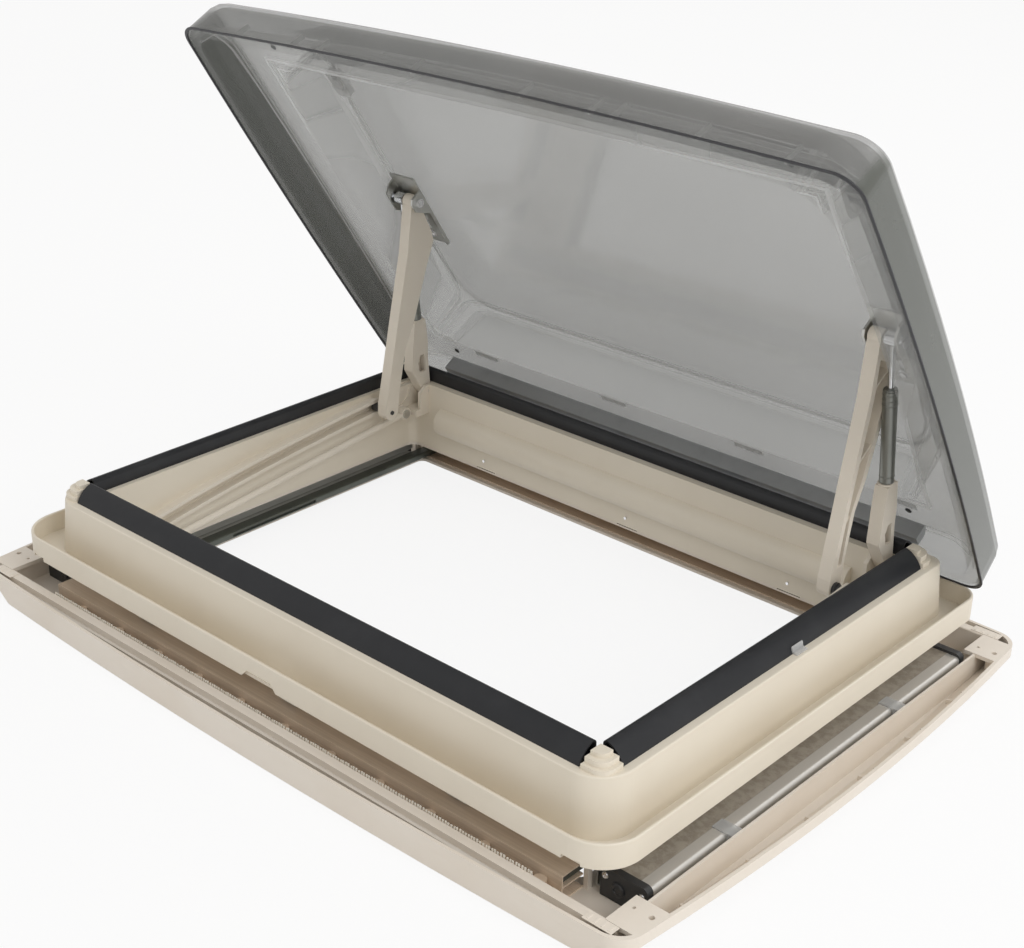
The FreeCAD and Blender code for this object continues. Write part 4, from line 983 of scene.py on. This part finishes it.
@dataclass
class RoofFrame(SubAssembly):
    """The cream frame on the roof, with its seals, corner plugs and clamps."""

    tab: Point = (351.0, 16.0, 58.0)
    tab_half: float = 8.0
    tab_section: tuple[tuple[float, float], ...] = (
        (0.0, 0.0),
        (7.0, 0.0),
        (7.0, 1.4),
        (2.2, 2.2),
        (1.2, 6.5),
        (0.0, 6.8),
    )

    def dress(self) -> None:
        """Finish the CAD nodes."""
        self.coat(("roof_frame", "seal_corner_plugs"), self.finishes.cream)
        self.coat(("front_seal", "rear_seal"), self.finishes.rubber_x)
        self.coat(("left_seal", "right_seal"), self.finishes.rubber_y)
        self.coat(("mounting_claws", "hinge_pins"), self.finishes.zinc)
        self.coat(("claw_screws",), self.finishes.chrome)

    def build(self) -> None:
        """Add the small seal clip on the right ledge."""
        clip = Blank()
        x, y, z = self.tab
        outline = [(x + out, y - self.tab_half, z + rise) for out, rise in self.tab_section]
        clip.plate(outline, (0, 2 * self.tab_half, 0))
        clip.ease(0.4)
        clip.done("seal_tab", "frame", "clear_clip", self.finishes.clear)


@dataclass
class Dome(SubAssembly):
    """The double-walled dome with its beads, marks, brackets and seats."""

    screw_z: float = 126.8
    bracket_y: tuple[float, float] = (63.7, 89.7)
    bracket_x: float = 304.0
    seat: Point = (313.0, -138.0, 121.8)
    studs: tuple[Point, ...] = ((305.0, 240.0, 74.6), (305.0, -232.0, 74.6))
    marks: tuple[float, ...] = (-314.0, -232.0, -195.0, -70.0, 60.0, 136.0, 160.0, 243.0, 326.0)
    skirt_y: float = -265.5
    skirt_bow: float = 9.0
    skirt_half: float = 395.0
    rib_foot: float = 4.0
    rib_half: float = 0.7
    rib_deep: float = 5.0
    rib_rise: Point = (5.0, 0.0, 17.0)

    def dress(self) -> None:
        """Finish the CAD nodes."""
        self.coat(("dome_shell",), self.finishes.shell)
        self.coat(("dome_pane",), self.finishes.pane)
        self.coat(("rim_strip",), self.finishes.weld)
        self.coat(("dome_hinge_bar",), self.finishes.hinge_bar)
        self.coat(("right_dome_bracket", "left_dome_bracket"), self.finishes.zinc)
        self.coat(("right_head_pin", "left_head_pin"), self.finishes.chrome)
        self.coat(("dome_latch_seats", "dome_rear_pads"), self.finishes.clear)

    def build(self) -> None:
        """Add the screws, studs, latch buttons and moulded marks."""
        self.bracket_screws()
        self.margin_studs()
        self.latch_buttons()
        self.skirt_marks()

    def bracket_screws(self) -> None:
        """Pan-head screws with washers that hold the arm brackets to the pane."""
        screws = Blank()
        washer = [(0, 0), (5.6, 0), (5.6, 0.7), (5.2, 0.9), (0, 0.9)]
        head = [(0, 0.9), (4.3, 0.9), (4.3, 1.5), (3.6, 2.5), (2.2, 2.9), (1.2, 2.9), (0, 2.2)]
        x, z = self.bracket_x, self.screw_z
        for y in self.bracket_y:
            screws.turned(washer, (x, y, z), (x, y, z - 8.0))
            screws.turned(head, (x, y, z), (x, y, z - 8.0))
        screws.both_sides().moved(DOME_AT_REST)
        made = screws.done("bracket_screw_heads", "dome", "chrome_screw", self.finishes.chrome)
        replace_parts(made, "dome_bracket_screws")

    def margin_studs(self) -> None:
        """The moulded centring studs under the pane's flat margin."""
        studs = Blank()
        button = [(0, -0.6), (3.4, -0.6), (3.4, 0.1), (2.9, 0.4), (0, 0.4)]
        for x, y, z in self.studs:
            studs.turned(button, (x, y, z), (x, y, z - 5.0), 24)
        studs.both_sides().moved(DOME_AT_REST)
        studs.done("margin_studs", "dome", "inner_pane", self.finishes.black)

    def latch_buttons(self) -> None:
        """A turned button in the middle of each latch seat."""
        buttons = Blank()
        x, y, z = self.seat
        profile = [(0, -0.4), (7.6, -0.4), (7.6, 1.0), (6.8, 1.7), (4.4, 1.7), (3.9, 1.1), (0, 1.1)]
        buttons.turned(profile, (x, y, z), (x, y, z - 5.0), 32)
        buttons.both_sides().moved(DOME_AT_REST)
        buttons.done("latch_buttons", "dome", "clear_clip", self.finishes.clear)

    def skirt_marks(self) -> None:
        """Short slanted ribs moulded inside the front skirt."""
        ribs = Blank()
        low = RIM_Z + self.rib_foot
        for x in self.marks:
            y = self.skirt_y - self.skirt_bow * (1.0 - (x / self.skirt_half) ** 2)
            left, right, back = x - self.rib_half, x + self.rib_half, y + self.rib_deep
            foot = [(left, y, low), (right, y, low), (right, back, low), (left, back, low)]
            ribs.plate(foot, self.rib_rise)
        ribs.moved(DOME_AT_REST).done("skirt_ribs", "dome", "inner_pane", self.finishes.clear)


@dataclass
class LiftGear(SubAssembly):
    """Arms, rollers, rails, corner brackets and gas springs of both sides."""

    spring_foot: Point = (311.5, 224.0, 50.0)
    spring_angle: float = math.radians(97.42989616)
    spring_r: float = 7.0
    crimps: tuple[float, ...] = (96.0, 171.0, 176.0, 181.5)

    def dress(self) -> None:
        """Finish the CAD nodes."""
        for side in Side:
            word = side.word
            moulded = ("lift_arm", "guide_rail", "corner_bracket", "spring_fork")
            self.coat([f"{word}_{piece}" for piece in moulded], self.finishes.arm)
            self.coat((f"{word}_foot_roller",), self.finishes.black)
            self.coat((f"{word}_fork_pin",), self.finishes.zinc)
            self.coat((f"{word}_spring_cylinder",), self.finishes.tube)
            self.coat((f"{word}_spring_rod",), self.finishes.rod)

    def build(self) -> None:
        """Roll the crimped rings into both spring cylinders."""
        foot = Vector(self.spring_foot)
        line = Vector((0.0, math.cos(self.spring_angle), math.sin(self.spring_angle)))
        section = ((-0.5, 0.0), (0.12, 0.1), (0.45, 0.8), (0.12, 1.5), (-0.5, 1.6))
        ring = [(self.spring_r + out, along) for out, along in section]
        for side in Side:
            word = side.word
            rings = Blank()
            for distance in self.crimps:
                start = foot + line * distance
                rings.turned(ring, start, start + line, 32)
            if side is Side.LEFT:
                rings.moved(Matrix.Scale(-1.0, 4, (1, 0, 0)))
            material = self.finishes.tube
            rings.done(f"{word}_cylinder_crimps", f"{word}_spring", "dark_cylinder", material)


@dataclass
class OperatingBow(SubAssembly):
    """The fold-down bow, its grip, pins and holders."""

    def dress(self) -> None:
        """Finish the CAD nodes."""
        self.coat(("operating_bow", "bow_holders"), self.finishes.arm)
        self.coat(("bow_pivot_pins",), self.finishes.zinc)
        self.coat(("bow_grip", "left_bow_button", "right_bow_button"), self.finishes.grip)


@dataclass
class CeilingFrame(SubAssembly):
    """The bowed lower frame with its tracks, pile seals and groove strips."""

    pile_x: float = 320.0
    pile_y: tuple[float, float] = (286.2, 287.2)
    pile_z: tuple[float, float] = (-31.0, -23.0)
    backing: float = 2.0
    tuft_pitch: float = 3.2
    tuft_half: float = 0.85
    tuft_shift: float = 0.25
    tuft_short: float = 0.9
    tuft_lean: float = 0.35
    cover_low: Point = (380.0, 289.5, -25.5)
    cover_high: Point = (409.0, 300.0, -24.3)
    cover_ribs: tuple[float, ...] = (384.0, 391.0, 398.0, 405.0)

    def dress(self) -> None:
        """Finish the CAD nodes."""
        self.coat(("ceiling_frame",), self.finishes.ceiling)
        self.coat(("front_blind_track", "rear_blind_track"), self.finishes.tan)
        self.coat(("groove_strips",), self.finishes.strip)
        self.coat(("front_brush", "rear_brush"), self.finishes.pile)

    def build(self) -> None:
        """Add the pile seals and the corner covers."""
        self.pile_seal("front_pile_seal", "front_brush", -1)
        self.pile_seal("rear_pile_seal", "rear_brush", 1)
        self.corner_covers()

    def pile_seal(self, name: str, node: str, sign: int) -> None:
        """A woven backing with a row of cut tufts, in place of a plain comb.

        Args:
            name: The piece's name.
            node: The CAD node that it replaces.
            sign: -1 for the front track and 1 for the rear one.
        """
        pile = Blank()
        (y0, y1), (z0, z1) = sorted((sign * self.pile_y[0], sign * self.pile_y[1])), self.pile_z
        pile.block((-self.pile_x, y0, z0), (self.pile_x, y1, z0 + self.backing))
        count = int(2 * self.pile_x / self.tuft_pitch)
        for i in range(count):
            shift = random.uniform(-self.tuft_shift, self.tuft_shift)
            x = -self.pile_x + (i + 0.5) * self.tuft_pitch + shift
            top = z1 - random.uniform(0.0, self.tuft_short)
            low = (x - self.tuft_half, y0 + 0.05, z0 + self.backing - 0.5)
            high = (x + self.tuft_half, y1 - 0.05, top)
            crown = [v for v in pile.block(low, high) if v.co.z > top - 0.01]
            lean = random.uniform(-self.tuft_lean, self.tuft_lean)
            bmesh.ops.translate(pile.mesh, vec=(lean, 0.0, 0.0), verts=crown)
        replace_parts(pile.done(name, "frame", "bristle", self.finishes.pile), node)

    def corner_covers(self) -> None:
        """The small ribbed covers beside the four corner pads."""
        covers = Blank()
        (x0, y0, z0), (x1, y1, z1) = self.cover_low, self.cover_high
        for sign in (-1, 1):
            near, far = sorted((sign * y0, sign * y1))
            covers.block((x0, near, z0), (x1, far, z1 - 0.4))
            for x in self.cover_ribs:
                covers.block((x - 1.2, near + 1.6, z1 - 0.6), (x + 1.2, far - 1.6, z1))
        covers.ease(0.2, 1)
        material = self.finishes.ceiling
        covers.both_sides().done("corner_covers", "frame", "ceiling_plastic", material)


@dataclass
class Blinds(SubAssembly):
    """The two roller blinds with their cassettes, rolls, cloths and pull bars."""

    roller: tuple[float, float] = (370.0, -38.5)
    roll_r: float = 9.4
    core_r: float = 6.15
    turns: int = 13
    steps_per_turn: int = 24
    lead_steps: int = 12
    bar_edge: float = 335.0
    bar_x: float = 328.0
    bar_half_z: float = 3.8
    cloth_half: float = 232.0
    cloth_t: float = 0.18
    lip_half: float = 238.0
    lip_deep: float = 2.6
    lip_foot: float = 4.2
    lip_edge: float = 1.1
    bracket_y: float = 243.0
    bracket_screws: tuple[tuple[float, float], ...] = ((357.0, -31.0), (393.5, -33.0))
    lanes: dict[str, tuple[Side, float, int]] = field(
        default_factory=lambda: {
            "flyscreen": (Side.RIGHT, -33.0, 1),
            "blackout": (Side.LEFT, -44.5, -1),
        }
    )

    def dress(self) -> None:
        """Finish the CAD nodes."""
        self.coat(("flyscreen_cassette", "blackout_cassette"), self.finishes.cassette)
        self.coat(("flyscreen_roller", "blackout_roller"), self.finishes.aluminium)
        self.coat(("cassette_end_brackets",), self.finishes.black)
        self.coat(("cassette_clips",), self.finishes.clear)
        self.coat(("flyscreen_roll", "flyscreen_cloth"), self.finishes.net)
        self.coat(("blackout_roll", "blackout_cloth"), self.finishes.blackout)
        self.coat(("flyscreen_bar", "blackout_bar"), self.finishes.bar)

    def build(self) -> None:
        """Add both cloths, the bars' rubber lips and the fittings on the cassette ends."""
        self.hang_cloth("flyscreen", "net_cloth", self.finishes.net)
        self.hang_cloth("blackout", "blackout_fabric", self.finishes.blackout)
        self.bar_lips()
        self.end_fittings()

    def leaving_point(self, lane: float, over: int) -> tuple[float, float]:
        """Where a straight cloth from a bar leaves its roll, as x and z.

        Args:
            lane: The height at which the cloth meets the bar.
            over: 1 if the cloth comes off over the top of the roll, -1 if under it.

        Returns:
            The tangent point.
        """
        reach, rise = self.roller[0] - self.bar_edge, self.roller[1] - lane
        distance = math.hypot(reach, rise)
        angle = math.atan2(rise, reach) + over * math.asin(self.roll_r / distance)
        length = math.sqrt(distance**2 - self.roll_r**2)
        return self.bar_edge + length * math.cos(angle), lane + length * math.sin(angle)

    def hang_cloth(self, blind: str, slot: str, material: bpy.types.Material) -> None:
        """Wind one blind's cloth on its roller and lead it to its bar.

        Args:
            blind: The blind's name, as its CAD nodes spell it.
            slot: The record's material slot.
            material: The cloth's material.
        """
        side, lane, over = self.lanes[blind]
        leaving = self.leaving_point(lane, over)
        width = 2 * self.cloth_half
        roll = Blank()
        wound = roll.cloth(self.spiral(leaving, side.value, over), width, self.cloth_t)
        made = roll.done(f"{blind}_wound_cloth", f"{blind}_reel", slot, material, 60.0)
        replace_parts(made, f"{blind}_roll")
        line = self.lead_line(leaving, side.value, lane)
        lead = Blank()
        free = lead.cloth(line, width, self.cloth_t)
        made = lead.done(f"{blind}_free_cloth", None, slot, material, 60.0)
        first, last = Vector(line[0]) * MM, Vector(line[-1]) * MM
        first.y = last.y = 0.0
        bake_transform(made)
        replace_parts(made, f"{blind}_cloth")

    def spiral(self, leaving: tuple[float, float], sign: int, over: int) -> list[Point]:
        """The wound cloth's edge, from where it leaves the roll inwards to the core.

        Args:
            leaving: Where the cloth leaves the roll, as x and z on the right-hand side.
            sign: 1 for a roller on the right and -1 for one on the left.
            over: 1 if the cloth comes off over the top of the roll, -1 if under it.

        Returns:
            The points of the spiral.
        """
        x, z = self.roller
        start = math.atan2(leaving[1] - z, leaving[0] - x)
        steps = self.turns * self.steps_per_turn
        points = []
        for i in range(steps + 1):
            radius = self.roll_r - (self.roll_r - self.core_r) * i / steps
            angle = start - over * math.tau * i / self.steps_per_turn
            out, rise = radius * math.cos(angle), radius * math.sin(angle)
            points.append((sign * (x + out), -self.cloth_half, z + rise))
        return points

    def lead_line(self, leaving: tuple[float, float], sign: int, lane: float) -> list[Point]:
        """The free cloth's edge, from the roll to the bar.

        Args:
            leaving: Where the cloth leaves the roll, as x and z on the right-hand side.
            sign: 1 for a roller on the right and -1 for one on the left.
            lane: The height at which the cloth meets the bar.

        Returns:
            The points of the line.
        """
        x, z = leaving
        reach = self.bar_edge + 0.2 - x
        shares = (i / self.lead_steps for i in range(self.lead_steps + 1))
        return [
            (sign * (x + reach * share), -self.cloth_half, z + (lane - z) * share)
            for share in shares
        ]

    def bar_lips(self) -> None:
        """A soft rubber lip under each pull bar."""
        for blind, (side, lane, _) in self.lanes.items():
            lip = Blank()
            x, z = side.value * self.bar_x, lane - self.bar_half_z
            y, tip = self.lip_half, z - self.lip_deep
            lip.block((x - self.lip_foot, -y, z - 1.0), (x + self.lip_foot, y, z + 0.3))
            lip.block((x - self.lip_edge, -y, tip), (x + self.lip_edge, y, z - 0.8))
            lip.ease(0.3, 2)
            lip.done(f"{blind}_bar_lip", f"{blind}_pull", "seal_rubber", self.finishes.rubber_y)

    def end_fittings(self) -> None:
        """Screws and roller caps on the outer faces of the cassette end brackets."""
        screws, caps = Blank(), Blank()
        head = [(0, -0.3), (3.1, -0.3), (3.1, 0.5), (2.4, 1.3), (1.3, 1.5), (1.1, 1.0), (0, 1.0)]
        cap = [(0, -0.3), (6.4, -0.3), (6.4, 1.2), (5.6, 2.0), (3.4, 2.0), (3.1, 1.4), (0, 1.4)]
        for sign in (-1, 1):
            y = sign * self.bracket_y
            for x, z in self.bracket_screws:
                screws.turned(head, (x, y, z), (x, y + sign, z), 20)
            x, z = self.roller
            caps.turned(cap, (x, y, z), (x, y + sign, z), 28)
        screws.both_sides().done("bracket_screws", "frame", "chrome_screw", self.finishes.chrome)
        caps.both_sides().done("roller_caps", "frame", "black_plastic", self.finishes.black)


@dataclass
class Studio:
    """Floor, lamps, world and the camera at the photograph's place."""

    floor_z: float = -0.0556
    camera_at: Point = (1.0222, -1.10095, 0.823)
    yaw: float = 0.732
    pitch: float = -0.44
    roll: float = 0.018
    focal_px: float = 1721.8
    image_px: int = 1024
    sensor_mm: float = 36.0
    floor_size: float = 30.0
    floor_white: float = 0.86
    world_colour: Colour = (1.0, 0.985, 0.965)
    world_strength: float = 0.66
    lamp_aim: Point = (0.0, 0.0, 0.1)
    lamps: tuple[tuple[str, Point, float, float], ...] = field(
        default=(
            ("key_lamp", (2.7, -0.4, 2.1), 38.0, 1.8),
            ("fill_lamp", (-1.5, -2.0, 2.2), 2.0, 2.0),
            ("rear_lamp", (0.4, 2.6, 2.2), 12.0, 2.0),
        )
    )

    def build(self) -> None:
        """Set up the whole studio."""
        self.lay_floor()
        self.hang_lamps()
        self.light_world()
        self.set_camera()
        bpy.context.scene.view_settings.view_transform = "Standard"

    def lay_floor(self) -> None:
        """A wide pale floor that shows white to the camera and keeps the shadow."""
        bpy.ops.mesh.primitive_plane_add(size=self.floor_size, location=(0, 0, self.floor_z))
        floor = bpy.context.object
        floor.name = "floor"
        sheet = Sheet("studio_floor")
        where = sheet.place()
        drift = sheet.noise(where, 0.5, 2.0) * 0.3
        base = sheet.tint(drift, (0.90, 0.90, 0.90), (0.93, 0.93, 0.93))
        matt = sheet.coat({"Base Color": base, "Roughness": 0.9, "Specular IOR Level": 0.1})
        glow = sheet.node("ShaderNodeEmission", {}, {"Color": (1, 1, 1, 1), "Strength": 1.0})
        path = sheet.node("ShaderNodeLightPath")
        seen = Value(sheet, path.outputs["Is Camera Ray"])
        mirrored = Value(sheet, path.outputs["Is Glossy Ray"])
        passed = Value(sheet, path.outputs["Is Transmission Ray"])
        share = ((seen + mirrored + passed) * self.floor_white).clamped()
        mixed = sheet.node(
            "ShaderNodeMixShader", {}, {0: share, 1: matt, 2: Value(sheet, glow.outputs[0])}
        )
        floor.data.materials.append(sheet.finish(Value(sheet, mixed.outputs[0])))

    def hang_lamps(self) -> None:
        """Large soft lamps aimed at the roof light."""
        for name, place, power, size in self.lamps:
            data = bpy.data.lights.new(name, "AREA")
            data.energy = power
            data.size = size
            lamp = bpy.data.objects.new(name, data)
            lamp.location = place
            beam = Vector(self.lamp_aim) - Vector(place)
            lamp.rotation_euler = beam.to_track_quat("-Z", "Y").to_euler()
            bpy.context.scene.collection.objects.link(lamp)

    def light_world(self) -> None:
        """An even pale surround."""
        world = bpy.data.worlds.new("studio")
        world.use_nodes = True
        tree = world.node_tree
        tree.nodes.clear()
        soft = tree.nodes.new("ShaderNodeBackground")
        soft.inputs["Color"].default_value = (*self.world_colour, 1.0)
        soft.inputs["Strength"].default_value = self.world_strength
        white = tree.nodes.new("ShaderNodeBackground")
        white.inputs["Strength"].default_value = 1.0
        path = tree.nodes.new("ShaderNodeLightPath")
        mixed = tree.nodes.new("ShaderNodeMixShader")
        output = tree.nodes.new("ShaderNodeOutputWorld")
        tree.links.new(path.outputs["Is Camera Ray"], mixed.inputs[0])
        tree.links.new(soft.outputs[0], mixed.inputs[1])
        tree.links.new(white.outputs[0], mixed.inputs[2])
        tree.links.new(mixed.outputs[0], output.inputs[0])
        bpy.context.scene.world = world

    def set_camera(self) -> None:
        """Put the camera where the photograph was taken."""
        cos_y, sin_y = math.cos(self.yaw), math.sin(self.yaw)
        cos_p, sin_p = math.cos(self.pitch), math.sin(self.pitch)
        ahead = Vector((-sin_y * cos_p, cos_y * cos_p, sin_p))
        level = Vector((cos_y, sin_y, 0.0))
        rise = level.cross(ahead)
        right = level * math.cos(self.roll) + rise * math.sin(self.roll)
        up = rise * math.cos(self.roll) - level * math.sin(self.roll)
        data = bpy.data.cameras.new("photo_camera")
        data.sensor_fit = "HORIZONTAL"
        data.sensor_width = self.sensor_mm
        data.lens = self.focal_px / self.image_px * self.sensor_mm
        camera = bpy.data.objects.new("photo_camera", data)
        place = Matrix((right, up, -ahead)).transposed().to_4x4()
        place.translation = Vector(self.camera_at)
        camera.matrix_world = place
        bpy.context.scene.collection.objects.link(camera)
        bpy.context.scene.camera = camera


def main() -> None:
    """Dress the CAD model, add the fittings and set up the studio."""
    logging.basicConfig(level=logging.INFO, format="%(name)s: %(message)s")
    random.seed(7)
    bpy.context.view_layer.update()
    finishes = Finishes()
    groups: list[SubAssembly] = [
        RoofFrame(finishes),
        Dome(finishes),
        LiftGear(finishes),
        OperatingBow(finishes),
        CeilingFrame(finishes),
        Blinds(finishes),
    ]
    for group in groups:
        group.dress()
        group.build()
    Studio().build()


if __name__ == "__main__":
    main()
